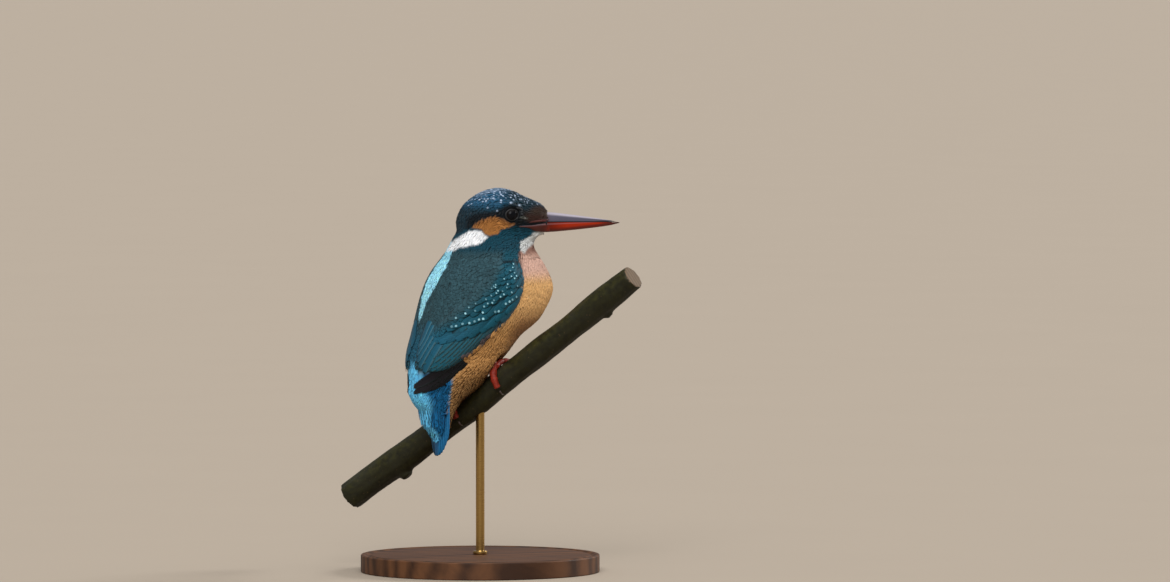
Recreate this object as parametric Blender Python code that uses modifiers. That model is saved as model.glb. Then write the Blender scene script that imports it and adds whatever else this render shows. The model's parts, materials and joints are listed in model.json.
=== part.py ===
"""Common kingfisher at life size, perched on a cut length of branch that a plain display stand holds.

The bird faces +X and its body is the same on both sides of the XZ plane. Its head is turned a little to
its right, towards -Y. The display base stands on Z = 0 with its centre at the origin. Metres, +Z up.
"""

import math
from collections import namedtuple

import bmesh
import bpy
import numpy as np
from mathutils import Matrix, Vector

MM = 0.001
GAP = 0.35 * MM  # left between two solids that touch

# Display stand
BASE_RADIUS = 55 * MM
BASE_HEIGHT = 8 * MM
BASE_EDGE = 1.5 * MM
ROD_RADIUS = 2.0 * MM
ROD_IN_BASE = 5 * MM
ROD_IN_PERCH = 5 * MM

# Perch: a branch that climbs to the bird's right; it crosses under the body at PERCH_MIDDLE
PERCH_MIDDLE = Vector((0, 0, 79.0)) * MM
PERCH_HEADING = math.radians(-57)
PERCH_SLOPE = math.radians(34.7)
PERCH_RINGS = 25
PERCH_ROUND = 4
HEADING = Vector((math.cos(PERCH_HEADING), math.sin(PERCH_HEADING), 0))
PERCH_AXIS = HEADING * math.cos(PERCH_SLOPE) + Vector((0, 0, math.sin(PERCH_SLOPE)))
ACROSS = Vector((-HEADING.y, HEADING.x, 0))  # level, across the perch, the way the front toes point
PERCH_TOP = PERCH_AXIS.cross(ACROSS)

# Its bends and swellings, in millimetres: place along it, rise off the straight line, radius
Bend = namedtuple("Bend", "name along rise radius")
PERCH_BENDS = (
    Bend("low cut", -84.0, 1.6, 6.9),
    Bend("below the bud scar", -65.0, 1.5, 6.9),
    Bend("bud scar", -50.0, 0.7, 7.2),
    Bend("above the bud scar", -38.0, 0.5, 6.8),
    Bend("behind the tail", -19.0, 0.5, 6.5),
    Bend("left foot", -6.0, -0.3, 6.3),
    Bend("right foot", 13.0, 0.6, 6.2),
    Bend("in front of the bird", 26.0, 0.8, 6.1),
    Bend("leaf scar", 40.0, 0.9, 6.4),
    Bend("thin length", 58.0, 1.0, 6.0),
    Bend("upper bud", 80.0, 1.5, 6.6),
    Bend("high cut", 100.0, 1.8, 5.9),
)

# Head: it has a frame of its own, forward to the bill's tip, and turns about the upright neck
HEAD_CENTRE = Vector((9.6, -1.3, 164.2)) * MM
HEAD_TURN = math.radians(-15)
EYE_FORWARD = 3.1 * MM
EYE_UP = 0.3 * MM
EYE_SIDE = 9.6 * MM
EYE_RADIUS = 3.2 * MM
BILL_ROOT = 14.5 * MM
BILL_TIP = 56.2 * MM
COMMISSURE = -3.3 * MM  # height of the line where the mandibles meet

# Where thin cuts part the neck from the head and from the trunk
HEAD_CUT = (Vector((5, 0, 151.5)) * MM, Vector((-0.10, 0, 1)))
NECK_CUT = (Vector((0, 0, 143.0)) * MM, Vector((0.12, 0, 1)))

FLESH_VOXEL = 1.1 * MM
FLESH_TRIANGLES = 1850
FOOT_VOXEL = 0.32 * MM
FOOT_TRIANGLES = 330

# Legs and toes
TARSUS_RADIUS = 1.0 * MM
TARSUS_LENGTH = 9.0 * MM
FOOT_TWIST = 0.25  # how far a toe drifts up the perch for each millimetre it reaches round it
TOE_RADIUS = 1.0 * MM
CLAW_LENGTH = 3.4 * MM
CLAW_RADIUS = 0.52 * MM

# Trunk in level slices, in millimetres: height, back, breast, half the width, and where it is widest
Level = namedtuple("Level", "name height back breast half_width widest")
TRUNK_LEVELS = (
    Level("tail coverts' end", 66.5, -23.2, -17.6, 7.4, -20.2),
    Level("tail coverts", 73.0, -29.3, -15.0, 9.0, -21.5),
    Level("rump", 80.0, -35.3, -11.6, 10.6, -22.0),
    Level("vent", 86.5, -35.4, -2.2, 13.2, -19.0),
    Level("thighs", 93.5, -35.2, 5.0, 16.8, -14.5),
    Level("belly", 101.5, -34.4, 13.2, 19.6, -9.5),
    Level("lower breast", 109.0, -31.9, 19.5, 21.4, -6.0),
    Level("breast's overhang", 115.0, -30.9, 28.0, 22.5, -2.0),
    Level("breast", 121.5, -29.4, 32.7, 23.2, 1.0),
    Level("full breast", 130.0, -26.8, 36.4, 23.0, 3.0),
    Level("wing bend", 138.0, -22.9, 33.9, 21.6, 4.0),
    Level("shoulder", 144.5, -18.3, 29.9, 18.6, 4.5),
    Level("throat", 148.5, -16.1, 27.0, 16.4, 4.9),
    Level("neck", 152.5, -14.2, 26.3, 14.0, 5.2),
    Level("nape", 158.0, -10.7, 21.5, 11.0, 5.5),
)
TRUNK_RINGS = 44
TRUNK_SIDES = 40

# Head in slices across its forward axis, in millimetres from its centre: place, crown, chin, half width
Slice = namedtuple("Slice", "name forward top bottom half_width")
HEAD_SLICES = (
    Slice("occiput's end", -20.9, -1.0, -5.5, 2.6),
    Slice("occiput", -18.8, 3.4, -10.0, 6.6),
    Slice("hind crown", -13.5, 8.6, -13.2, 10.4),
    Slice("ears", -7.0, 12.0, -14.6, 12.3),
    Slice("crown", 0.0, 13.1, -13.8, 12.4),
    Slice("eyes", 7.0, 11.4, -11.9, 10.9),
    Slice("brow", 12.0, 9.0, -13.0, 8.9),
    Slice("lores", 17.0, 7.0, -11.6, 6.7),
    Slice("forehead", 21.0, 4.7, -9.0, 4.9),
    Slice("bill's base", 23.6, 1.3, -7.9, 3.9),
)
HEAD_RINGS = 26
HEAD_SIDES = 32

# Folded wing on the trunk, top to bottom: height, then angles round the trunk from the middle of the
# back to the wing's rear and front edges, then thickness in millimetres
Row = namedtuple("Row", "height rear front thickness")
WING_ROWS = (
    Row(147.0, 26, 80, 1.2),
    Row(144.5, 21, 101, 2.0),
    Row(140.0, 18, 104, 2.6),
    Row(132.0, 16, 105, 2.9),
    Row(122.0, 15, 100, 3.0),
    Row(112.0, 13, 94, 3.0),
    Row(103.0, 12, 83, 2.9),
    Row(97.0, 11, 73, 2.5),
    Row(93.5, 12, 62, 2.1),
    Row(91.4, 16, 50, 1.6),
)
WING_TIP_ROWS = (
    Row(90.7, 12, 76, 1.3),
    Row(88.0, 8, 75, 1.3),
    Row(85.6, 6, 72, 1.2),
    Row(83.8, 4, 56, 1.1),
    Row(82.2, 3, 30, 0.9),
)
WING_SINK = 1.1 * MM  # how deep a wing's inner face lies in the trunk's side
WING_RINGS = 15
WING_SIDES = 9
WING_TIP_RINGS = 6
WING_TIP_SIDES = 7

# Tail: a flat bundle of long feathers, in slices down its length: drop, half width, thickness, millimetres
Span = namedtuple("Span", "drop half_width thickness")
TAIL_SPANS = (
    Span(0, 6.0, 2.2),
    Span(12, 9.0, 2.3),
    Span(20, 10.6, 2.1),
    Span(27, 10.0, 1.8),
    Span(32, 7.9, 1.6),
    Span(36, 5.6, 1.3),
    Span(38.6, 3.6, 1.1),
)
TAIL_ROOT = Vector((-20.6, 0, 92.6)) * MM
TAIL_LEAN = math.radians(-0.6)  # how far the tip is in front of straight down
TAIL_ARCH = 0.10
TAIL_RINGS = 10
TAIL_SIDES = 9

COLOURS = {
    "crown": (0.030, 0.110, 0.160, 1),
    "nape": (0.040, 0.150, 0.200, 1),
    "plumage": (0.560, 0.260, 0.090, 1),
    "wing": (0.020, 0.110, 0.160, 1),
    "wing_tip": (0.030, 0.030, 0.036, 1),
    "tail": (0.020, 0.160, 0.300, 1),
    "upper_bill": (0.035, 0.034, 0.042, 1),
    "lower_bill": (0.420, 0.070, 0.020, 1),
    "eye": (0.012, 0.008, 0.006, 1),
    "leg": (0.560, 0.070, 0.025, 1),
    "claw": (0.050, 0.030, 0.022, 1),
    "bark": (0.120, 0.110, 0.055, 1),
    "stand": (0.160, 0.090, 0.048, 1),
    "rod": (0.055, 0.050, 0.045, 1),
}


# ---------------------------------------------------------------- scene, materials and mesh helpers


def clear_scene():
    for obj in list(bpy.data.objects):
        bpy.data.objects.remove(obj)


def new_collection(name):
    made = bpy.data.collections.new(name)
    bpy.context.scene.collection.children.link(made)
    return made


def material(name, roughness=0.6, metallic=0.0):
    made = bpy.data.materials.get(name)
    if made is None:
        made = bpy.data.materials.new(name)
        made.use_nodes = True
        shader = made.node_tree.nodes["Principled BSDF"]
        shader.inputs["Base Color"].default_value = COLOURS[name]
        shader.inputs["Roughness"].default_value = roughness
        shader.inputs["Metallic"].default_value = metallic
        made.diffuse_color = COLOURS[name]
    return made


def link_mesh(name, mesh, collection):
    obj = bpy.data.objects.new(name, mesh)
    collection.objects.link(obj)
    return obj


def finish_mesh(obj, finish, smooth_angle=40):
    """Gives a finished part its material and smooth shading between faces that meet gently."""
    obj.data.materials.clear()
    obj.data.materials.append(finish)
    obj.data.shade_smooth()
    obj.data.set_sharp_from_angle(angle=math.radians(smooth_angle))


def helper(obj):
    obj.hide_render = True
    obj.display_type = "WIRE"
    return obj


def applied(obj):
    """Replaces the object's mesh by its evaluated one and drops its modifiers."""
    bpy.context.view_layer.update()
    graph = bpy.context.evaluated_depsgraph_get()
    mesh = bpy.data.meshes.new_from_object(obj.evaluated_get(graph))
    obj.modifiers.clear()
    obj.data = mesh
    return obj


def recalculated(form):
    """Turns every face of a closed form outwards."""
    bmesh.ops.recalc_face_normals(form, faces=form.faces)
    if form.calc_volume(signed=True) < 0:
        bmesh.ops.reverse_faces(form, faces=form.faces)
    return form


def loft(name, rings, collection):
    """A closed solid through rings of equally many points, with a flat cap at each end."""
    form = bmesh.new()
    rows = [[form.verts.new(point) for point in ring] for ring in rings]
    for here, after in zip(rows, rows[1:]):
        for i, vertex in enumerate(here):
            j = (i + 1) % len(here)
            form.faces.new((vertex, here[j], after[j], after[i]))
    form.faces.new(rows[0])
    form.faces.new(rows[-1])
    recalculated(form)
    mesh = bpy.data.meshes.new(name)
    form.to_mesh(mesh)
    form.free()
    return link_mesh(name, mesh, collection)


def tube(name, points, radii, collection, resolution=2):
    """A closed tube along a smooth line, with its own radius at each point."""
    line = bpy.data.curves.new(name, "CURVE")
    line.dimensions = "3D"
    line.bevel_depth = 1.0
    line.bevel_resolution = resolution
    line.use_fill_caps = True
    spline = line.splines.new("POLY")
    spline.points.add(len(points) - 1)
    for knot, place, radius in zip(spline.points, points, radii):
        knot.co = (*place, 1)
        knot.radius = radius
    curve = link_mesh(name + " line", line, collection)
    bpy.context.view_layer.update()
    graph = bpy.context.evaluated_depsgraph_get()
    mesh = bpy.data.meshes.new_from_object(curve.evaluated_get(graph))
    made = link_mesh(name, mesh, collection)
    made.matrix_world = curve.matrix_world
    bpy.data.objects.remove(curve)
    form = bmesh.new()
    form.from_mesh(mesh)
    bmesh.ops.remove_doubles(form, verts=form.verts, dist=1e-6)
    recalculated(form)
    form.to_mesh(mesh)
    form.free()
    return made


def merged(name, pieces, voxel, triangles, smoothing, collection):
    """One smooth closed form in place of several that run into each other."""
    form = bmesh.new()
    for piece in pieces:
        bpy.context.view_layer.update()
        piece.data.transform(piece.matrix_world)
        form.from_mesh(piece.data)
        bpy.data.objects.remove(piece)
    mesh = bpy.data.meshes.new(name)
    form.to_mesh(mesh)
    form.free()
    made = link_mesh(name, mesh, collection)
    remesh = made.modifiers.new("Merge", "REMESH")
    remesh.mode = "VOXEL"
    remesh.voxel_size = voxel
    smooth = made.modifiers.new("Soften", "SMOOTH")
    smooth.factor = 0.5
    smooth.iterations = smoothing
    applied(made)
    made.data.calc_loop_triangles()
    thin = made.modifiers.new("Thin", "DECIMATE")
    thin.ratio = min(1.0, triangles / len(made.data.loop_triangles))
    thin.use_collapse_triangulate = True
    return applied(made)


def cut_away(obj, *cutters):
    """Cuts the cutters' shapes out of an object."""
    for cutter in cutters:
        cut = obj.modifiers.new("Cut " + cutter.name, "BOOLEAN")
        cut.operation = "DIFFERENCE"
        cut.solver = "EXACT"
        cut.object = cutter
    return applied(obj)


def without_scraps(obj):
    """Keeps the largest body of a mesh that a cut left in several."""
    form = bmesh.new()
    form.from_mesh(obj.data)
    bodies, seen = [], set()
    for start in form.verts:
        if start in seen:
            continue
        body, queue = [], [start]
        seen.add(start)
        while queue:
            vertex = queue.pop()
            body.append(vertex)
            for edge in vertex.link_edges:
                other = edge.other_vert(vertex)
                if other not in seen:
                    seen.add(other)
                    queue.append(other)
        bodies.append(body)
    bodies.sort(key=len, reverse=True)
    scraps = [vertex for body in bodies[1:] for vertex in body]
    bmesh.ops.delete(form, geom=scraps, context="VERTS")
    form.to_mesh(obj.data)
    form.free()
    return obj


def kept_between(name, whole, below, above, collection):
    """The part of a closed form between two planes, each a point and an upward normal, half a gap in."""
    form = bmesh.new()
    form.from_mesh(whole.data)
    for plane, sign in ((below, -1), (above, 1)):
        if plane is None:
            continue
        point, normal = plane
        normal = normal.normalized()
        bmesh.ops.bisect_plane(
            form,
            geom=form.verts[:] + form.edges[:] + form.faces[:],
            dist=1e-7,
            plane_co=point - normal * (sign * GAP / 2),
            plane_no=normal,
            clear_outer=sign > 0,
            clear_inner=sign < 0,
        )
        rim = [edge for edge in form.edges if edge.is_boundary]
        bmesh.ops.contextual_create(form, geom=rim)
    bmesh.ops.triangulate(form, faces=form.faces)
    recalculated(form)
    mesh = bpy.data.meshes.new(name)
    form.to_mesh(mesh)
    form.free()
    return link_mesh(name, mesh, collection)


def smooth_through(rows, column, along, place):
    """The value of a named column at a place along the rows, on a smooth line through them all."""
    places = [getattr(row, along) for row in rows]
    values = [getattr(row, column) for row in rows]
    if places[0] > places[-1]:
        places, values = places[::-1], values[::-1]
    slopes = np.gradient(values, places)
    i = int(np.clip(np.searchsorted(places, place) - 1, 0, len(places) - 2))
    span = places[i + 1] - places[i]
    t = float(np.clip((place - places[i]) / span, 0, 1))
    start = (1 + 2 * t) * (1 - t) ** 2 * values[i] + t * (1 - t) ** 2 * span * slopes[i]
    end = t * t * (3 - 2 * t) * values[i + 1] + t * t * (t - 1) * span * slopes[i + 1]
    return start + end


# ---------------------------------------------------------------- trunk, head and flesh


def trunk_point(height, angle, lift=0.0):
    """A point on the trunk at a height in millimetres and an angle round from the middle of the back.

    A negative angle is on the bird's right, -Y. lift moves it straight out from the surface.
    """
    column = {
        name: smooth_through(TRUNK_LEVELS, name, "height", height)
        for name in ("back", "breast", "half_width", "widest")
    }
    reach = column["widest"] - column["back"]
    if math.cos(angle) < 0:
        reach = column["breast"] - column["widest"]
    out = Vector((-math.cos(angle) / reach, math.sin(angle) / column["half_width"], 0))
    x = column["widest"] - reach * math.cos(angle)
    y = column["half_width"] * math.sin(angle)
    return Vector((x, y, height)) * MM + out.normalized() * lift


def build_trunk_form(collection):
    heights = np.linspace(TRUNK_LEVELS[0].height, TRUNK_LEVELS[-1].height, TRUNK_RINGS)
    turn = math.tau / TRUNK_SIDES
    rings = [[trunk_point(h, turn * k) for k in range(TRUNK_SIDES)] for h in heights]
    return loft("trunk form", rings, collection)


def head_matrix():
    return Matrix.Translation(HEAD_CENTRE) @ Matrix.Rotation(HEAD_TURN, 4, "Z")


def build_head_form(collection):
    places = np.linspace(HEAD_SLICES[0].forward, HEAD_SLICES[-1].forward, HEAD_RINGS)
    turn = math.tau / HEAD_SIDES
    rings = []
    for place in places:
        top, bottom, half_width = (
            smooth_through(HEAD_SLICES, name, "forward", place)
            for name in ("top", "bottom", "half_width")
        )
        middle = bottom + 0.46 * (top - bottom)
        ring = []
        for k in range(HEAD_SIDES):
            rise = math.sin(turn * k)
            height = middle + rise * ((top - middle) if rise > 0 else (middle - bottom))
            ring.append(Vector((place, half_width * math.cos(turn * k), height)) * MM)
        rings.append(ring)
    made = loft("head form", rings, collection)
    made.matrix_world = head_matrix()
    return made


def build_flesh(collection):
    """Trunk, neck and head as one smooth form, before they are parted."""
    forms = [build_trunk_form(collection), build_head_form(collection)]
    return helper(merged("flesh", forms, FLESH_VOXEL, FLESH_TRIANGLES, 5, collection))


# ---------------------------------------------------------------- bill and eyes


def bill_sections():
    """Places along the bill with the culmen's height, the keel's height and half the width, in metres."""
    for step in np.linspace(0, 1, 12):
        place = BILL_ROOT + (BILL_TIP - BILL_ROOT) * step
        share = (place - 23.5 * MM) / (BILL_TIP - 23.5 * MM)  # 0 where the forehead's feathers end
        fade = max(0.0, 1 - share)
        culmen = (-3.75 + 4.9 * fade**0.82) * MM if share > 0 else 1.15 * MM
        keel = (-3.95 - 4.15 * min(1.0, fade) ** 0.62) * MM
        half_width = (0.22 + 3.5 * min(1.0, fade) ** 0.95) * MM
        yield place, culmen, keel, half_width


def mandible_arc(section, upper, grow=0.0):
    """A half ring over one mandible, from the bird's left to its right."""
    place, culmen, keel, half_width = section
    meeting = COMMISSURE - 0.35 * MM * (place / BILL_TIP) ** 2
    ridge = (culmen if upper else keel) - meeting
    edge = meeting + math.copysign(GAP / 2, ridge)
    height = max(abs(ridge) - GAP / 2, 0.28 * MM) + grow
    arc = []
    for step in range(9):
        angle = math.pi * step / 8
        side = math.copysign(abs(math.cos(angle)) ** 0.9, math.cos(angle))
        up = math.copysign(height * math.sin(angle) ** 0.85, ridge)
        arc.append(Vector((place, (half_width + grow) * side, edge + up)))
    return arc


def build_mandible(name, finish, upper, collection):
    """One half of the bill: flat where the halves meet, and drawn up to a blunt ridge."""
    made = loft(name, [mandible_arc(section, upper) for section in bill_sections()], collection)
    made.data.transform(head_matrix())
    finish_mesh(made, finish, 50)
    return made


def build_bill_room(collection):
    """The socket for both mandibles in the head."""
    rings = [
        mandible_arc(section, True, GAP) + mandible_arc(section, False, GAP)[::-1]
        for section in bill_sections()
    ]
    rings.insert(0, [point - Vector((GAP, 0, 0)) for point in rings[0]])
    room = loft("bill room", rings, collection)
    room.data.transform(head_matrix())
    return room


def build_ball(name, centre, radius, collection, segments=12, rings=8):
    bpy.ops.mesh.primitive_uv_sphere_add(segments=segments, ring_count=rings, radius=radius)
    ball = bpy.context.active_object
    ball.name = name
    for owner in list(ball.users_collection):
        owner.objects.unlink(ball)
    collection.objects.link(ball)
    ball.data.transform(Matrix.Translation(centre))
    return ball


def eye_centre(side):
    return head_matrix() @ Vector((EYE_FORWARD, side * EYE_SIDE, EYE_UP))


# ---------------------------------------------------------------- wings and tail


def build_wing_patch(name, rows, side, collection, sink=WING_SINK, grow=0.0, open_out=0.0):
    """A pillow on the trunk's side between a rear and a front edge. grow and open_out make its cutter."""
    rings_needed, sides = (WING_RINGS, WING_SIDES) if rows is WING_ROWS else (WING_TIP_RINGS, WING_TIP_SIDES)
    heights = np.linspace(rows[0].height + grow / MM, rows[-1].height - grow / MM, rings_needed)
    rings = []
    for height in heights:
        inside = float(np.clip(height, rows[-1].height, rows[0].height))
        rear, front, thickness = (
            smooth_through(rows, name, "height", inside) for name in ("rear", "front", "thickness")
        )
        half_width = smooth_through(TRUNK_LEVELS, "half_width", "height", inside) * MM
        wider = math.degrees(grow / half_width)
        angles = np.radians(np.linspace(rear - wider, front + wider, sides))
        outer, inner = [], []
        for i, angle in enumerate(angles):
            across = 2 * i / (sides - 1) - 1
            swell = (1 - across**3.2) ** 0.5 if across > 0 else 1 - (-across) ** 1.5
            lift = (0.28 + 0.72 * swell) * thickness * MM + open_out
            outer.append(trunk_point(height, side * angle, lift - 0.2 * MM))
            inner.append(trunk_point(height, side * angle, -(sink + grow)))
        rings.append(outer + inner[::-1])
    return loft(name, rings, collection)


def tail_slice(drop, grow=0.0):
    """A ring of points round the tail at a distance down it, arched over its back."""
    half_width = smooth_through(TAIL_SPANS, "half_width", "drop", drop) * MM + grow
    thickness = smooth_through(TAIL_SPANS, "thickness", "drop", drop) * MM + 2 * grow
    down = Vector((math.sin(TAIL_LEAN), 0, -math.cos(TAIL_LEAN)))
    back = Vector((-math.cos(TAIL_LEAN), 0, -math.sin(TAIL_LEAN)))
    ring = []
    for side in (1, -1):
        for across in np.linspace(-1, 1, TAIL_SIDES):
            edge = math.sqrt(max(0.0, 1 - abs(across) ** 4)) * 0.5 + 0.12
            arch = (1 - across**2) * TAIL_ARCH * half_width
            out = arch + side * edge * thickness * 0.8
            lateral = Vector((0, side * across * half_width, 0))
            ring.append(TAIL_ROOT + down * (drop * MM) + back * out + lateral)
    return ring


def build_tail(name, collection, grow=0.0):
    drops = np.linspace(TAIL_SPANS[0].drop, TAIL_SPANS[-1].drop, TAIL_RINGS)
    rings = [tail_slice(drop, grow) for drop in drops]
    if grow:
        rings.insert(0, [point + Vector((0, 0, grow)) for point in rings[0]])
    return loft(name, rings, collection)


# ---------------------------------------------------------------- perch, legs and feet


def perch_point(along):
    """A point on the branch's middle line."""
    rise = smooth_through(PERCH_BENDS, "rise", "along", along / MM) * MM
    return PERCH_MIDDLE + PERCH_AXIS * along + PERCH_TOP * rise


def perch_radius(along, grow=0.0):
    return smooth_through(PERCH_BENDS, "radius", "along", along / MM) * MM + grow


def build_perch(name, collection, grow=0.0):
    places = np.linspace(PERCH_BENDS[0].along, PERCH_BENDS[-1].along, PERCH_RINGS) * MM
    points = [perch_point(place) for place in places]
    radii = [perch_radius(place, grow) for place in places]
    return tube(name, points, radii, collection, PERCH_ROUND)


def knot_stub(along, angle, length, radius, collection):
    """A short stub of a lost twig, standing out of the branch and leaning up it."""
    out = PERCH_TOP * math.cos(angle) + ACROSS * math.sin(angle)
    root = perch_point(along)
    tip = root + out * (perch_radius(along) + length) + PERCH_AXIS * (0.8 * length)
    points = [root.lerp(tip, share) for share in (0.0, 0.45, 0.8, 1.0)]
    radii = [radius * 1.6, radius * 1.4, radius, radius * 0.82]
    return tube("stub", points, radii, collection, 2)


def grip_point(along, angle, lift):
    """A point beside the perch: angle 0 is on top, and positive angles go over the far side."""
    out = PERCH_TOP * math.cos(angle) + ACROSS * math.sin(angle)
    return perch_point(along) + out * (perch_radius(along) + lift)


# A toe starts beside the pad, ends splayed out from the bird's middle (both in millimetres) and reaches
# this many degrees round the perch
Toe = namedtuple("Toe", "name start splay reach size")
TOES = (
    Toe("hind", 0.1, -0.2, -74, 1.45),
    Toe("inner", -1.1, -2.8, 58, 0.9),
    Toe("middle", 0.0, 0.3, 88, 1.05),
    Toe("outer", 1.2, 1.9, 78, 1.0),
)
TOE_STEPS = 9
CLAW_STEPS = 5

# Each foot: which side of the bird, place along the perch, and angle of the pad from the perch's top
Foot = namedtuple("Foot", "name side along pad")
FEET = (Foot("right", -1, 17.5 * MM, -38), Foot("left", 1, -9.0 * MM, -30))


def toe_place(foot, toe, share):
    """Where a share of the way out a toe is: place along the perch, and angle round it in radians."""
    angle = math.radians(toe.reach * share)
    drift = FOOT_TWIST * angle * (perch_radius(foot.along) + TOE_RADIUS)
    aside = (toe.start + (toe.splay - toe.start) * share) * MM
    return foot.along + drift - foot.side * aside, angle + math.radians(foot.pad)


def toe_line(foot, toe):
    """Points and radii from the foot's pad round the perch to where the claw starts."""
    points, radii = [], []
    for share in np.linspace(0, 1, TOE_STEPS):
        along, angle = toe_place(foot, toe, share)
        radius = TOE_RADIUS * toe.size * (1.08 - 0.22 * share) * (1 + 0.16 * math.cos(share * 3 * math.tau))
        points.append(grip_point(along, angle, GAP + TOE_RADIUS * toe.size * 1.1))
        radii.append(radius)
    return points, radii


def claw_line(foot, toe):
    """A claw that leaves its toe's end and curves down onto the bark."""
    reach = (perch_radius(foot.along) + TOE_RADIUS) * math.radians(abs(toe.reach))
    first = 1 + (TOE_RADIUS * max(1.0, toe.size) + GAP) / reach
    points, radii = [], []
    for step in np.linspace(0, 1, CLAW_STEPS):
        along, angle = toe_place(foot, toe, first + step * CLAW_LENGTH / reach)
        arch = math.sin(math.pi * min(1.0, step * 1.05)) * 0.7 * MM
        lift = (1 - step) * TOE_RADIUS * 0.9 + arch + GAP + CLAW_RADIUS * 0.5
        points.append(grip_point(along, angle, lift))
        radii.append(CLAW_RADIUS * (1 - 0.82 * step**1.3))
    return points, radii


def build_foot_room(side_name, along, collection):
    """A collar round the perch that keeps the belly off one foot's toes, the thick hind one too."""
    places = [along + shift * MM for shift in (-6.0, -2.0, 2.0, 6.5)]
    points = [perch_point(place) for place in places]
    radii = [perch_radius(place, 2.1 * TOE_RADIUS * TOES[0].size + 3 * GAP) for place in places]
    return tube(f"foot room {side_name}", points, radii, collection, PERCH_ROUND)


def leg_points(foot, end=1.0):
    """The bare lower leg, from the foot's pad up and back into the belly's feathers."""
    pad = grip_point(foot.along, math.radians(foot.pad), GAP + TOE_RADIUS)
    top = pad + Vector((-0.30, -0.06 * foot.side, 0.95)).normalized() * TARSUS_LENGTH
    return [pad.lerp(top, share) for share in (0.14, 0.4, 0.7, end)]


def build_leg(foot, collection, cutters):
    """One foot with its bare leg, and its four claws. Returns the shapes that make room for them."""
    radii = [TARSUS_RADIUS * share for share in (1.15, 0.95, 0.95, 1.1)]
    pad = grip_point(foot.along, math.radians(foot.pad), GAP + 1.15 * MM)
    pieces = [tube("leg form", leg_points(foot), radii, collection, 3)]
    pieces.append(build_ball("pad form", pad, 1.15 * MM, collection, 12, 8))
    for toe in TOES:
        pieces.append(tube("toe form", *toe_line(foot, toe), collection, 2))
        claw = tube(f"claw_{foot.name}_{toe.name}", *claw_line(foot, toe), collection, 1)
        finish_mesh(claw, material("claw", 0.35), 60)
    leg = merged(f"leg_{foot.name}", pieces, FOOT_VOXEL, FOOT_TRIANGLES, 1, collection)
    finish_mesh(leg, material("leg", 0.5), 60)
    wide = [TARSUS_RADIUS * 1.3 + GAP] * 4
    leg_room = tube(f"leg room {foot.name}", leg_points(foot, 1.08), wide, cutters, 2)
    return [helper(leg_room), helper(build_foot_room(foot.name, foot.along, cutters))]


# ---------------------------------------------------------------- stand


def turned(name, profile, segments, collection):
    """A solid of revolution about +Z from a profile of (radius, height), listed top to bottom."""
    mesh = bpy.data.meshes.new(name)
    mesh.from_pydata([(r, 0, z) for r, z in profile], [(i, i + 1) for i in range(len(profile) - 1)], [])
    made = link_mesh(name, mesh, collection)
    screw = made.modifiers.new("Turn", "SCREW")
    screw.steps = screw.render_steps = segments
    screw.use_merge_vertices = True
    screw.merge_threshold = 1e-6
    return applied(made)


def build_base(collection, cutters):
    corner = [
        (
            BASE_RADIUS - BASE_EDGE + BASE_EDGE * math.sin(angle),
            BASE_HEIGHT - BASE_EDGE + BASE_EDGE * math.cos(angle),
        )
        for angle in np.linspace(0, math.pi / 2, 4)
    ]
    profile = [(0, BASE_HEIGHT), *corner, (BASE_RADIUS, 0), (0, 0)]
    base = turned("stand_base", profile, 32, collection)
    hole = tube(
        "base socket",
        [Vector((0, 0, BASE_HEIGHT - ROD_IN_BASE - GAP)), Vector((0, 0, BASE_HEIGHT + 2 * MM))],
        [ROD_RADIUS + GAP] * 2,
        cutters,
        6,
    )
    cut_away(base, helper(hole))
    finish_mesh(base, material("stand", 0.45), 35)
    return base


def build_rod(collection):
    low = BASE_HEIGHT - ROD_IN_BASE
    high = rod_top() - GAP
    bpy.ops.mesh.primitive_cylinder_add(
        vertices=16, radius=ROD_RADIUS, depth=high - low, location=(0, 0, (low + high) / 2)
    )
    rod = bpy.context.active_object
    rod.name = "stand_rod"
    for owner in list(rod.users_collection):
        owner.objects.unlink(rod)
    collection.objects.link(rod)
    bevel = rod.modifiers.new("Eased ends", "BEVEL")
    bevel.width = 0.3 * MM
    bevel.segments = 1
    bevel.limit_method = "ANGLE"
    applied(rod)
    finish_mesh(rod, material("rod", 0.35, 0.6), 35)
    return rod


def rod_top():
    """The top of the rod's hole, ROD_IN_PERCH above where its middle meets the branch's underside."""
    underside = PERCH_MIDDLE.z - perch_radius(0) / math.cos(PERCH_SLOPE)
    return underside + ROD_IN_PERCH


# ---------------------------------------------------------------- the whole model


def build_perch_and_stand(collection, cutters):
    perch = build_perch("perch form", collection)
    stubs = [
        knot_stub(-54 * MM, math.radians(178), 1.7 * MM, 3.4 * MM, collection),
        knot_stub(78 * MM, math.radians(168), 1.0 * MM, 2.4 * MM, collection),
    ]
    for stub in stubs:
        join = perch.modifiers.new("Join stub", "BOOLEAN")
        join.operation = "UNION"
        join.solver = "EXACT"
        join.object = stub
    applied(perch)
    for stub in stubs:
        bpy.data.objects.remove(stub)
    top = rod_top()
    hole = tube(
        "perch socket",
        [Vector((0, 0, top - 14 * MM)), Vector((0, 0, top))],
        [ROD_RADIUS + GAP] * 2,
        cutters,
        6,
    )
    cut_away(perch, helper(hole))
    perch.name = "perch"
    finish_mesh(perch, material("bark", 0.85), 45)
    build_base(collection, cutters)
    build_rod(collection)
    return perch


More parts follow.
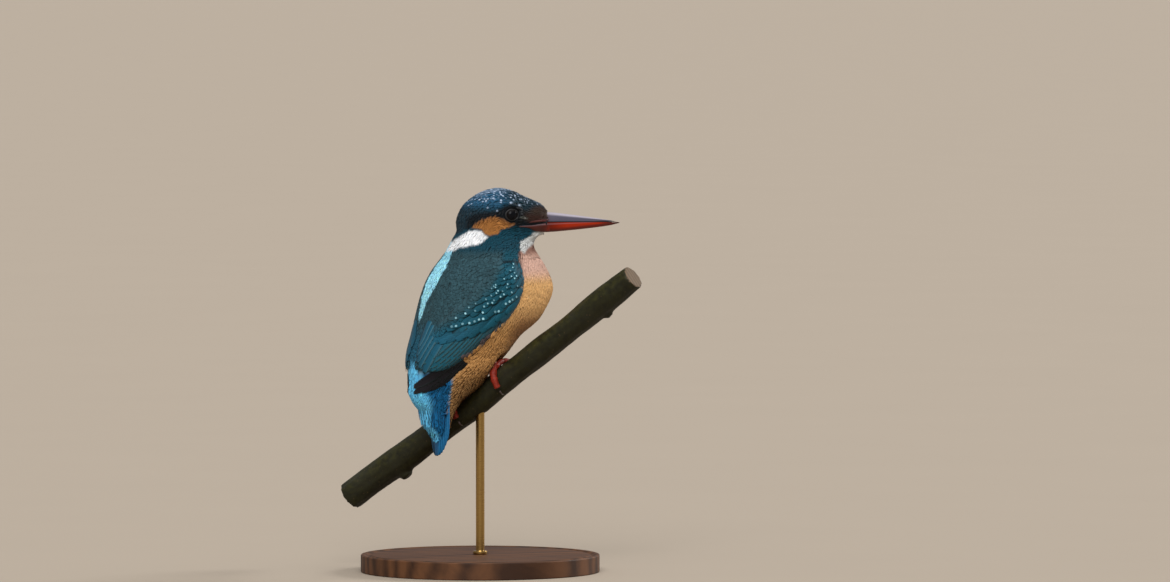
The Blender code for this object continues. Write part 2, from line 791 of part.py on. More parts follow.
def build_bill_and_eyes(collection, cutters):
    """The mandibles and eyeballs. Returns the cutters that make room for them in the head."""
    build_mandible("bill_upper", material("upper_bill", 0.3), True, collection)
    build_mandible("bill_lower", material("lower_bill", 0.35), False, collection)
    rooms = [build_bill_room(cutters)]
    for side_name, side in (("right", -1), ("left", 1)):
        eye = build_ball(f"eye_{side_name}", eye_centre(side), EYE_RADIUS, collection)
        finish_mesh(eye, material("eye", 0.05), 80)
        rooms.append(build_ball(f"eye room {side_name}", eye_centre(side), EYE_RADIUS + GAP, cutters))
    return [helper(room) for room in rooms]


def build_wings(collection, cutters):
    """Each folded wing with the tips of its long feathers as a second solid. Returns the beds' cutters."""
    beds = []
    for side_name, side in (("right", -1), ("left", 1)):
        for name, rows in (("wing", WING_ROWS), ("wing_tip", WING_TIP_ROWS)):
            patch = build_wing_patch(f"{name}_{side_name}", rows, side, collection)
            finish_mesh(patch, material(name, 0.5), 50)
            bed = build_wing_patch(f"{name} bed {side_name}", rows, side, cutters, grow=GAP, open_out=6 * MM)
            beds.append(helper(bed))
    return beds


def main():
    clear_scene()
    bird = new_collection("kingfisher")
    cutters = new_collection("cutters")
    build_perch_and_stand(bird, cutters)
    perch_room = helper(build_perch("perch room", cutters, GAP))
    head_rooms = build_bill_and_eyes(bird, cutters)
    wing_beds = build_wings(bird, cutters)
    leg_rooms = [room for foot in FEET for room in build_leg(foot, bird, cutters)]
    tail = build_tail("tail", bird)
    finish_mesh(tail, material("tail", 0.5), 50)
    tail_room = helper(build_tail("tail room", cutters, GAP))

    flesh = build_flesh(cutters)
    head = kept_between("head", flesh, HEAD_CUT, None, bird)
    neck = kept_between("neck", flesh, NECK_CUT, HEAD_CUT, bird)
    trunk = kept_between("trunk", flesh, None, NECK_CUT, bird)
    cut_away(head, *head_rooms)
    cut_away(neck, *wing_beds)
    cut_away(trunk, *wing_beds, tail_room, perch_room, *leg_rooms)
    for piece, finish in ((head, "crown"), (neck, "nape"), (trunk, "plumage")):
        without_scraps(piece)
        finish_mesh(piece, material(finish, 0.7), 60)


main()
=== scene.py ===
"""Looks of a common kingfisher, a still life-size model on a cut branch and a plain stand.

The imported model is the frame: every piece is placed from its boxes and rides on its one body.
Lengths named in the tables below are millimetres; everything that is built is in metres.
"""

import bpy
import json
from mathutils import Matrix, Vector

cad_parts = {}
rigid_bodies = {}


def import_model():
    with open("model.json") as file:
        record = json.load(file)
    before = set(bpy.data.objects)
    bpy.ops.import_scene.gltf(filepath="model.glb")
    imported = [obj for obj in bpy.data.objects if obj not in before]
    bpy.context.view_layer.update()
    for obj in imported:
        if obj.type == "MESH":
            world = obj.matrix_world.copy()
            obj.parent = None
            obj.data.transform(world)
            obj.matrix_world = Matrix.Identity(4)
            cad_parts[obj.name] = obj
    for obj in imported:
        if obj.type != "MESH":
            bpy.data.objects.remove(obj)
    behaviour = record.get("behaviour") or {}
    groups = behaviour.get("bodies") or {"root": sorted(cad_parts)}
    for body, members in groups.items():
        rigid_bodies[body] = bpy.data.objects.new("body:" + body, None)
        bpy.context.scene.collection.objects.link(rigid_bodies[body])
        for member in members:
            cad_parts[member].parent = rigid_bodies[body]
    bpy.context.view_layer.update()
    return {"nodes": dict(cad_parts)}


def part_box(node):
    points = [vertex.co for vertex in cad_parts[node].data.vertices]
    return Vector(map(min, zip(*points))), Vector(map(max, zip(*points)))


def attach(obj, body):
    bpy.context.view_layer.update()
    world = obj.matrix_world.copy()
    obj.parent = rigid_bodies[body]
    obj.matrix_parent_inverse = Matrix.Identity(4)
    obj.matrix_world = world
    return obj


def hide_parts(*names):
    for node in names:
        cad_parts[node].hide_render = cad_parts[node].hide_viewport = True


bl_info = {
    "name": "Kingfisher on a cut branch",
    "version": (1, 0, 0),
    "blender": (4, 5, 0),
    "location": "3D View > Sidebar > Kingfisher",
    "description": "Skin, feathers, bill, eyes, feet, perch and stand of a still kingfisher",
    "category": "Object",
}

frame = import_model()

import json
import math
from collections import namedtuple

import bmesh
import bpy
import numpy as np
from bpy.props import FloatProperty, FloatVectorProperty, PointerProperty
from mathutils import Matrix, Vector, noise
from mathutils.bvhtree import BVHTree
from mathutils.geometry import barycentric_transform
from mathutils.kdtree import KDTree

MM = 0.001
UP = Vector((0, 0, 1))
SIDES = ((-1, "right"), (1, "left"))  # which way y goes on each side of the bird
FLESH = ("head", "neck", "trunk", "wing_right", "wing_left", "wing_tip_right", "wing_tip_left")


def middle(node):
    low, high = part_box(node)
    return (low + high) / 2


# The head's own frame, from the two eyes: forward along the bill, aside to the bird's right, and
# up. EYE_FORWARD and EYE_UP are the eyes' places in it
EYES = {-1: middle("eye_right"), 1: middle("eye_left")}
EYE_RADIUS = (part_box("eye_right")[1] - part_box("eye_right")[0]).z / 2
ASIDE = (EYES[-1] - EYES[1]).normalized()
FORWARD = UP.cross(ASIDE)
EYE_FORWARD, EYE_UP = 3.1, 0.3
EYE_RIM = 10.7  # how far aside of the head's middle the coat meets the lid
HEAD_MIDDLE = (EYES[-1] + EYES[1]) / 2 - FORWARD * (EYE_FORWARD * MM) - UP * (EYE_UP * MM)
BILL_LINE = -3.3  # up: the line between the mandibles
BILL_FACE, BILL_TIP = 22.0, 56.6  # forward: where the feathers of the face end, and the bill's end
UPPER_DEPTH = 4.6  # how deep the upper mandible is at the face
BILL_SOURCE = (24.0, -3.0)  # forward and up: the face's feathers fan back from here


def head_spot(forward, aside, up):
    """The place that is so many millimetres forward, aside and up of the head's middle."""
    return HEAD_MIDDLE + FORWARD * (forward * MM) + ASIDE * (aside * MM) + UP * (up * MM)


# Outlines of the head's markings, forward and up of the head's middle
EAR_PATCH = (
    (4.6, -3.5), (2.0, -2.6), (-0.4, -1.5), (-4.0, -0.4), (-6.7, -0.6), (-9.4, -1.5), (-14.1, -4.1),
    (-14.7, -5.6), (-10.9, -6.3), (-9.7, -8.2), (-7.0, -9.4), (-4.0, -8.5), (-2.2, -7.1), (0.2, -5.7),
    (2.6, -4.9), (4.6, -4.4),
)
NECK_PATCH = (
    (-7.9, -9.7), (-9.4, -8.8), (-10.8, -7.2), (-13.4, -6.7), (-16.0, -7.1), (-17.8, -8.3),
    (-20.2, -9.9), (-22.6, -12.0), (-28.0, -13.0), (-28.0, -17.0), (-23.9, -16.4), (-21.6, -15.3),
    (-18.2, -14.0), (-13.8, -13.6), (-11.0, -12.3), (-9.1, -10.5),
)
THROAT_PATCH = (
    (36.0, -7.4), (19.5, -7.6), (14.7, -8.2), (11.6, -10.4), (7.6, -12.4), (6.9, -14.6), (7.5, -16.6),
    (8.9, -17.4), (10.3, -16.4), (12.5, -14.6), (14.9, -13.4), (17.2, -12.2), (36.0, -12.2),
)
LORE_PATCH = (
    (8.2, -0.4), (10.5, 1.8), (14.2, 3.4), (18.0, 4.2), (21.5, 3.4), (23.0, 1.5), (22.5, -1.9),
    (16.0, -2.4), (11.0, -2.8), (8.6, -2.2),
)
EYE_LINE = (
    (-17.0, -1.0), (-12.0, 1.0), (-6.0, 1.8), (-2.0, 2.6), (0.5, 3.8), (6.0, 4.0), (10.0, 2.4),
    (13.0, -0.8), (22.0, -1.8), (24.0, -4.6), (13.0, -5.0), (5.0, -4.4), (1.5, -2.6), (-4.0, -0.2),
    (-9.4, -1.4), (-14.2, -4.0), (-17.0, -6.5),
)

# The bare gape on each side of the face: forward, lower and upper edge of each rim
GAPE_LOWER = (
    (6.5, -5.1, -4.9), (10.0, -5.35, -4.85), (12.6, -5.9, -4.75), (14.6, -7.2, -4.5),
    (17.0, -7.75, -4.15), (20.0, -7.9, -3.85), (22.8, -7.9, -3.7),
)
GAPE_UPPER = (
    (12.0, -3.55, -3.15), (14.5, -3.4, -2.6), (18.0, -3.2, -2.2), (21.5, -3.1, -2.0),
    (22.6, -3.1, -2.1),
)

# Azure stripe down the back: height, how far its middle is to the bird's left, and half width
STRIPE = (
    (115.0, 2.2, 0.0), (117.0, 2.3, 1.2), (119.0, 2.4, 2.3), (124.0, 2.5, 3.4), (128.0, 2.0, 4.2),
    (131.0, 1.6, 5.5), (137.0, 1.4, 6.0), (145.0, 1.6, 4.7), (152.0, 3.0, 4.4),
)

# Front and lower edge of the folded wing: height and how far forward, seen from the side
WING_EDGE = (
    (93.0, -27.0), (95.2, -23.7), (96.6, -21.6), (99.7, -17.4), (103.4, -13.0), (107.0, -8.2),
    (111.5, -3.9), (116.9, 1.8), (121.3, 5.8), (125.9, 8.6), (130.4, 10.6), (134.9, 11.8),
    (139.4, 12.0), (144.9, 11.4), (148.5, 12.4), (160.0, 13.0),
)

# Feather tracts: length, half width, distance between roots, height of the tip over the skin, and
# which modelled feather is copied
Tract = namedtuple("Tract", "name length half_width apart rise vane")
TRACTS = (
    Tract("bare", 0, 0, 9.0, 0, "plume"),
    Tract("lid edge", 1.0, 0.24, 0.36, 0.25, "plume"),
    Tract("face", 1.6, 0.32, 0.44, 0.32, "plume"),
    Tract("forehead", 2.0, 0.50, 0.60, 0.36, "plume"),
    Tract("crown", 2.9, 0.78, 0.88, 0.44, "plume"),
    Tract("ear", 3.0, 0.38, 0.47, 0.42, "plume"),
    Tract("throat", 2.9, 0.44, 0.52, 0.45, "plume"),
    Tract("cheek", 2.9, 0.50, 0.58, 0.42, "plume"),
    Tract("neck", 3.8, 0.56, 0.62, 0.50, "plume"),
    Tract("breast", 5.0, 0.62, 0.60, 0.36, "plume"),
    Tract("belly", 6.0, 0.70, 0.70, 0.40, "plume"),
    Tract("thigh", 5.0, 0.58, 0.60, 0.55, "plume"),
    Tract("mantle", 4.6, 1.0, 0.90, 0.38, "vane"),
    Tract("scapular", 6.4, 1.30, 1.10, 0.70, "vane"),
    Tract("stripe", 4.6, 0.72, 0.72, 0.50, "plume"),
    Tract("shoulder", 3.2, 0.80, 0.80, 0.46, "vane"),
    Tract("rump", 7.0, 0.75, 0.74, 0.46, "plume"),
)
TRACT = {tract.name: place for place, tract in enumerate(TRACTS)}

# Rows of wing coverts, lowest first: greater, median, three rows of lesser coverts, and those of
# the wing's bend. tips run from the rear to the front edge (forward, height); spotted is the share
# of feathers with a pale spot
Row = namedtuple("Row", "tips number length half_width layer spotted")
COVERT_ROWS = (
    Row(
        ((-31, 106), (-24, 107.5), (-15, 110.5), (-8, 113.5), (-2, 117), (2.5, 120.5)),
        14, 12.5, 2.1, 0, 0.0,
    ),
    Row(
        ((-26, 112.5), (-20, 114.8), (-12, 117.3), (-5, 120.4), (0, 123.4), (5, 127.5)),
        16, 8.5, 1.8, 1, 0.75,
    ),
    Row(((-24, 117), (-13.5, 121.4), (-7, 124.4), (0, 128), (6, 132)), 17, 6.5, 1.6, 2, 0.6),
    Row(((-20, 121.5), (-9, 126.2), (-2, 130), (6.5, 136)), 17, 5.6, 1.45, 3, 0.55),
    Row(((-14, 126.0), (-6, 130.8), (1, 135), (6.5, 139)), 14, 5.0, 1.35, 4, 0.45),
    Row(((-8, 131.5), (-1, 136), (6, 141.5)), 11, 4.4, 1.25, 5, 0.2),
)

# Long feathers of the folded wing: root and tip, half width, layer and bow. Places are (forward,
# height) seen from the side; those of the tertials are (outward, height) seen from behind
Quill = namedtuple("Quill", "kind root tip half_width layer bow")
QUILLS = (
    Quill("primary", (-9.0, 102.5), (-22.3, 88.4), 2.2, 0, 0.5),
    Quill("primary", (-9.5, 104.0), (-24.4, 87.2), 2.2, 0.6, 0.5),
    Quill("primary", (-10.5, 104.5), (-27.2, 86.6), 2.2, 1.2, 0.5),
    Quill("primary", (-12.0, 105.0), (-30.2, 84.9), 2.2, 1.8, 0.4),
    Quill("primary", (-14.0, 105.0), (-32.8, 83.9), 2.2, 2.4, 0.4),
    Quill("primary", (-16.0, 104.5), (-35.2, 83.2), 2.3, 3.0, 0.3),
    Quill("primary", (-18.0, 103.5), (-35.6, 85.6), 2.3, 3.5, 0.3),
    Quill("secondary", (5.0, 127.0), (-21.4, 97.4), 2.2, 1.0, 1.0),
    Quill("secondary", (2.5, 126.0), (-23.6, 95.9), 2.2, 1.6, 0.9),
    Quill("secondary", (0.0, 125.0), (-25.6, 94.7), 2.3, 2.2, 0.8),
    Quill("secondary", (-2.5, 124.0), (-27.6, 94.0), 2.3, 2.8, 0.6),
    Quill("secondary", (-5.0, 123.0), (-29.6, 93.6), 2.4, 3.3, 0.5),
    Quill("secondary", (-7.5, 122.0), (-31.4, 93.5), 2.4, 3.8, 0.4),
    Quill("secondary", (-10.0, 121.0), (-33.0, 93.7), 2.4, 4.3, 0.3),
    Quill("secondary", (-12.5, 120.0), (-34.4, 94.4), 2.5, 4.7, 0.2),
    Quill("secondary", (-14.5, 119.5), (-35.4, 95.6), 2.6, 5.1, 0.1),
    Quill("tertial", (17.8, 118.6), (8.9, 92.6), 2.8, 5.4, 0.6),
    Quill("tertial", (15.4, 120.5), (6.4, 94.5), 2.5, 6.2, 0.5),
    Quill("tertial", (13.2, 121.5), (5.2, 97.0), 2.5, 6.8, 0.4),
    Quill("tertial", (10.8, 122.0), (4.2, 100.0), 2.4, 7.3, 0.3),
    Quill("tertial", (8.6, 122.0), (3.4, 103.5), 2.2, 7.8, 0.2),
)
LAYER = 0.055  # how much higher each layer of the wing's long feathers lies
COVERT_LAYER = 0.025  # and each layer of its coverts
# How much shorter each pair of tail feathers is than the middle pair
TAIL_STEPS = (0.0, 0.5, 1.4, 2.8, 4.8, 7.4)

# Where the folded wing's tip lies over the rump, forward and height seen from the side
TIP_PATCH = (
    (-15.0, 97.0), (-22.3, 88.6), (-33.0, 82.8), (-37.5, 83.0), (-37.5, 86.5), (-34.5, 90.5),
    (-27.0, 95.5), (-20.0, 100.0),
)
BODY_END = 74.0  # below this height the uppertail coverts lie on the tail

# Seeds of the random draws: where feathers root, and how those of coat, wings and tail vary
ROOT_SEED, COAT_SEED, WING_SEED, TAIL_SEED = 7, 20, 41, 5


def shade(red, green, blue):
    """A colour named in the usual 0 to 255, as the light that a surface gives back."""
    return tuple(
        v / 12.92 if v <= 0.04045 else ((v + 0.055) / 1.055) ** 2.4
        for v in (red / 255, green / 255, blue / 255)
    )


def colour(name, description, red, green, blue):
    return FloatVectorProperty(
        name=name, description=description, default=shade(red, green, blue),
        subtype="COLOR", size=3, min=0.0, max=1.0,
    )


def length(name, description, value):
    return FloatProperty(
        name=name, description=description, default=value * MM, min=0.0, unit="LENGTH"
    )


class KingfisherPlumage(bpy.types.PropertyGroup):
    """Colours of the coat and the depth that it takes over the skin"""

    crown: colour("Crown", "Blue-green of the crown's feathers", 10, 43, 56)
    crown_rear: colour("Rear crown", "Bluer top and rear of the crown", 44, 96, 130)
    # also painted as a highlight along the top of the crown
    crown_bar_and_top_highlight: colour("Crown bar", "Pale blue bar near the tip of a crown feather", 168, 186, 210)
    nape: colour("Nape", "Dark sides of the nape", 26, 46, 56)
    eye_line: colour("Eye line", "Blackish feathers round the eye and over the gape", 12, 16, 20)
    fleck: colour("Fleck", "Grey-olive fleck between eye and bill", 88, 90, 80)
    lore: colour("Lore", "Brown-orange patch before the eye", 62, 42, 27)
    lore_low: colour("Low lore", "Dark red-brown over the gape", 58, 30, 23)
    ear: colour("Ear patch", "Orange ear coverts", 172, 114, 58)
    white: colour("Neck patch", "White patch on the side of the neck", 250, 252, 255)
    cheek: colour("Cheek band", "Blue-green band under the ear patch", 16, 64, 80)
    throat: colour("Throat", "White of chin and throat", 220, 222, 220)
    # painted shade: this brown-red is laid under the chin, where shade falls below the head
    collar: colour("Collar shade", "Brown-red edge under the throat", 118, 66, 50)
    # painted shade: a dusky tone laid before the wing's bend and along its lower edge
    fold: colour("Wing fold shade", "Dusky feathers before the bend of the wing", 92, 68, 62)
    breast_top: colour("Upper breast", "Pinkish orange of the upper breast", 205, 165, 147)
    breast: colour("Breast", "Orange of the breast", 217, 168, 108)
    flank: colour("Flank", "Deeper orange of flank and belly", 180, 132, 78)
    # painted shade: the lower front of the breast made duller, where less light falls
    breast_shade: colour("Breast shade", "Duller orange under the breast", 128, 84, 52)
    vent: colour("Vent", "Brownish orange under the tail", 156, 118, 74)
    mantle: colour("Mantle", "Grey-green of mantle and shoulder feathers", 44, 72, 80)
    covert: colour("Wing covert", "Blue-green of the wing coverts", 18, 74, 90)
    spot: colour("Covert spot", "Pale blue tip spot of a wing covert", 160, 212, 224)
    secondary: colour("Secondary", "Outer web of the secondaries", 24, 84, 102)
    tertial: colour("Tertial", "Outer web of the tertials", 26, 82, 104)
    primary: colour("Primary", "Dark brown primaries", 30, 28, 33)
    # also painted as a thin shadow line at the wing's bend
    quill_edge_and_shadow: colour("Quill edge", "Dark inner web of the wing's long feathers", 10, 26, 32)
    stripe: colour("Back stripe", "Azure stripe down the back", 160, 230, 255)
    rump: colour("Rump", "Azure of rump and uppertail coverts", 98, 190, 236)
    tail: colour("Tail", "Deep blue of the tail", 14, 84, 128)
    tail_edge: colour("Tail edge", "Lighter edges of the tail feathers", 44, 120, 168)
    under: colour("Undersides", "Grey-brown underside of the tail feathers", 70, 66, 66)
    coat: length("Coat depth", "How far the skin lies inside the outline", 0.8)


class KingfisherParts(bpy.types.PropertyGroup):
    """Colours and sizes of bill, eyes, feet, perch and stand"""

    bill_upper: colour("Upper bill", "Blackish horn of the upper mandible", 80, 76, 90)
    bill_base: colour("Bill base", "Reddish brown round the gape", 74, 30, 24)
    bill_lower: colour("Lower bill", "Orange-red of the lower mandible", 170, 42, 5)
    # painted highlight: sky reflected along the upper bill's ridge, and a pink one on the lower
    # bill's top edge
    bill_highlight: colour("Bill highlight", "Pale lilac along the ridge of the bill", 176, 168, 178)
    bill_gap: colour("Bill gap", "Dark edges where the mandibles meet", 34, 14, 18)
    bill_tip: colour("Bill tip", "Dark tip of both mandibles", 34, 28, 30)
    iris: colour("Iris", "Dark brown ring round the pupil", 12, 9, 8)
    lid: colour("Eyelid", "Dark grey bare lid", 11, 11, 13)
    foot: colour("Foot", "Coral red of the feet", 132, 36, 18)
    claw: colour("Claw", "Dark horn of the claws", 44, 32, 30)
    bark: colour("Bark", "Olive green bark", 52, 50, 18)
    # also painted as shade on the branch's underside
    bark_dark_and_shade: colour("Dark bark", "Bark in the cracks and underneath", 26, 25, 13)
    # also painted as a lighter top, where light falls on the branch
    bark_grey_and_highlight: colour("Grey bark", "Weathered grey bark", 50, 50, 40)
    wood: colour("Cut wood", "Pale wood of the cut ends", 100, 78, 52)
    base: colour("Base", "Walnut of the stand's base", 96, 62, 38)
    base_dark: colour("Base grain", "Dark grain of the walnut", 52, 32, 20)
    rod: colour("Rod", "Brass of the rod", 168, 134, 78)
    lid_width: length("Lid width", "Thickness of the eyelid's rim", 0.34)


class KingfisherStage(bpy.types.PropertyGroup):
    """Floor, lights and camera"""

    floor: colour("Floor", "Pale floor", 162, 148, 131)
    surround: colour("Surround", "Pale light all round", 222, 224, 228)
    focal: FloatProperty(
        name="Focal length", description="Focal length of the camera", default=267.6, unit="CAMERA"
    )
    distance: FloatProperty(
        name="Distance", description="From the camera to the model", default=4.0, unit="LENGTH"
    )
    azimuth: FloatProperty(
        name="Azimuth", description="Bearing of the camera", default=math.radians(-27),
        subtype="ANGLE",
    )
    elevation: FloatProperty(
        name="Elevation", description="Height of the camera's view", default=math.radians(2.5),
        subtype="ANGLE",
    )


def plumage():
    return bpy.context.scene.kingfisher_plumage


def parts():
    return bpy.context.scene.kingfisher_parts


def tone(group, name):
    return np.array(getattr(group, name), dtype=float)


# --- selecting and finishing -------------------------------------------------------------------


def alone(obj):
    """Makes the object the only selected one."""
    if bpy.context.object and bpy.context.object.mode != "OBJECT":
        bpy.ops.object.mode_set(mode="OBJECT")
    bpy.ops.object.select_all(action="DESELECT")
    obj.select_set(True)
    bpy.context.view_layer.objects.active = obj


def primitive(add, **values):
    """A new primitive, added with everything else deselected."""
    bpy.ops.object.select_all(action="DESELECT")
    add(**values)
    return bpy.context.object


def editing(obj, kind="VERT"):
    """Opens the object in edit mode, with nothing selected."""
    alone(obj)
    bpy.ops.object.mode_set(mode="EDIT")
    bpy.ops.mesh.select_mode(type=kind)
    bpy.ops.mesh.select_all(action="DESELECT")
    return bmesh.from_edit_mesh(obj.data)


def choose(obj, kind, test):
    """Selects in edit mode the vertices, or faces, that pass a test of place, or place and normal."""
    mesh = bmesh.from_edit_mesh(obj.data)
    bpy.ops.mesh.select_all(action="DESELECT")
    if kind == "VERT":
        for vertex in mesh.verts:
            vertex.select_set(bool(test(vertex.co)))
    else:
        for face in mesh.faces:
            face.select_set(bool(test(face.calc_center_median(), face.normal)))
    mesh.select_flush_mode()
    bmesh.update_edit_mesh(obj.data)


def shift(obj, test, *offset):
    """Moves in edit mode the vertices whose places pass the test."""
    choose(obj, "VERT", test)
    bpy.ops.transform.translate(value=offset)


def done(obj):
    bpy.ops.object.mode_set(mode="OBJECT")
    return obj


def modified(obj, kind, **values):
    """Adds a modifier with these values and applies it."""
    alone(obj)
    modifier = obj.modifiers.new(kind.lower(), kind)
    for name, value in values.items():
        setattr(modifier, name, value)
    bpy.ops.object.modifier_apply(modifier=modifier.name)
    return obj


def bevelled(obj, width, segments, angle):
    limit = math.radians(angle)
    modified(obj, "BEVEL", width=width, segments=segments, limit_method="ANGLE", angle_limit=limit)


def settled(obj, name, smooth_angle=None):
    """Puts the object's place into its mesh, names it and smooths its shading."""
    alone(obj)
    bpy.ops.object.transform_apply(location=True, rotation=True, scale=True)
    obj.name = obj.data.name = name
    if smooth_angle is None:
        bpy.ops.object.shade_smooth()
    else:
        bpy.ops.object.shade_smooth_by_angle(angle=math.radians(smooth_angle))
    return obj


def outward(obj):
    editing(obj)
    bpy.ops.mesh.select_all(action="SELECT")
    bpy.ops.mesh.normals_make_consistent(inside=False)
    return done(obj)


def copied_nodes(name, *nodes):
    """One new object with the merged meshes of these CAD nodes."""
    copies = []
    for node in nodes:
        copy = bpy.data.objects.new(name, frame["nodes"][node].data.copy())
        bpy.context.scene.collection.objects.link(copy)
        copies.append(copy)
    alone(copies[0])
    for copy in copies:
        copy.select_set(True)
    if len(copies) > 1:
        bpy.ops.object.join()
    whole = copies[0]
    whole.data.materials.clear()
    editing(whole)
    bpy.ops.mesh.select_all(action="SELECT")
    bpy.ops.mesh.remove_doubles(threshold=0.02 * MM)
    return done(whole)


def dressed(piece, finish, slot, *nodes):
    """Gives a finished piece its material and its body, and hides the nodes that it stands for; slot
    is not used.
    """
    piece.data.materials.clear()
    piece.data.materials.append(finish)
    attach(piece, "root")
    if nodes:
        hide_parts(*nodes)


# --- markings -----------------------------------------------------------------------------------


def smooth(value, low, high):
    """0 up to low, 1 from high on, and a soft rise between them."""
    share = np.clip((value - low) / (high - low), 0.0, 1.0)
    return share * share * (3 - 2 * share)


def head_places(points):
    """How far forward, aside and up of the head's middle points in metres are, in millimetres."""
    offset = (np.asarray(points) - np.array(HEAD_MIDDLE)) / MM
    return offset @ np.array(FORWARD), offset @ np.array(ASIDE), offset[:, 2]


def ripple(points, scale, phase=0.0):
    """A smooth wandering value between about -1 and 1, for edges that aren't ruled."""
    p = np.asarray(points) / MM / scale
    return (
        np.sin(p[:, 0] * 2.1 + p[:, 2] * 1.3 + phase)
        + np.sin(p[:, 1] * 1.9 - p[:, 2] * 2.3 + 1.7 * phase)
        + np.sin(p[:, 2] * 3.1 + p[:, 0] * 1.1 - p[:, 1] * 1.4 + 0.6)
    ) / 3


def within(outline, along, above, soft=0.5):
    """Share of each place that is inside the outline, fading over soft millimetres."""
    corners = np.array(outline, dtype=float)
    inside = np.zeros(len(along), dtype=bool)
    nearest = np.full(len(along), 1e9)
    for a, b in zip(corners, np.roll(corners, -1, axis=0)):
        run, rise = b - a
        out, up = along - a[0], above - a[1]
        share = np.clip((out * run + up * rise) / (run * run + rise * rise), 0, 1)
        nearest = np.minimum(nearest, np.hypot(out - share * run, up - share * rise))
        if a[1] != b[1]:
            crosses = (a[1] > above) != (b[1] > above)
            inside ^= crosses & (along < a[0] + run * up / rise)
    return smooth(np.where(inside, nearest, -nearest), -soft, soft)


def wing_front(height):
    """How far forward the folded wing's edge is at each height."""
    heights, fronts = zip(*WING_EDGE)
    return np.interp(height, heights, fronts)


def off_stripe(across, height):
    """How far outside the back's stripe a place lies, negative inside."""
    heights, middles, half_widths = zip(*STRIPE)
    middle_at = np.interp(height, heights, middles)
    return np.abs(across - middle_at) - np.interp(height, heights, half_widths)


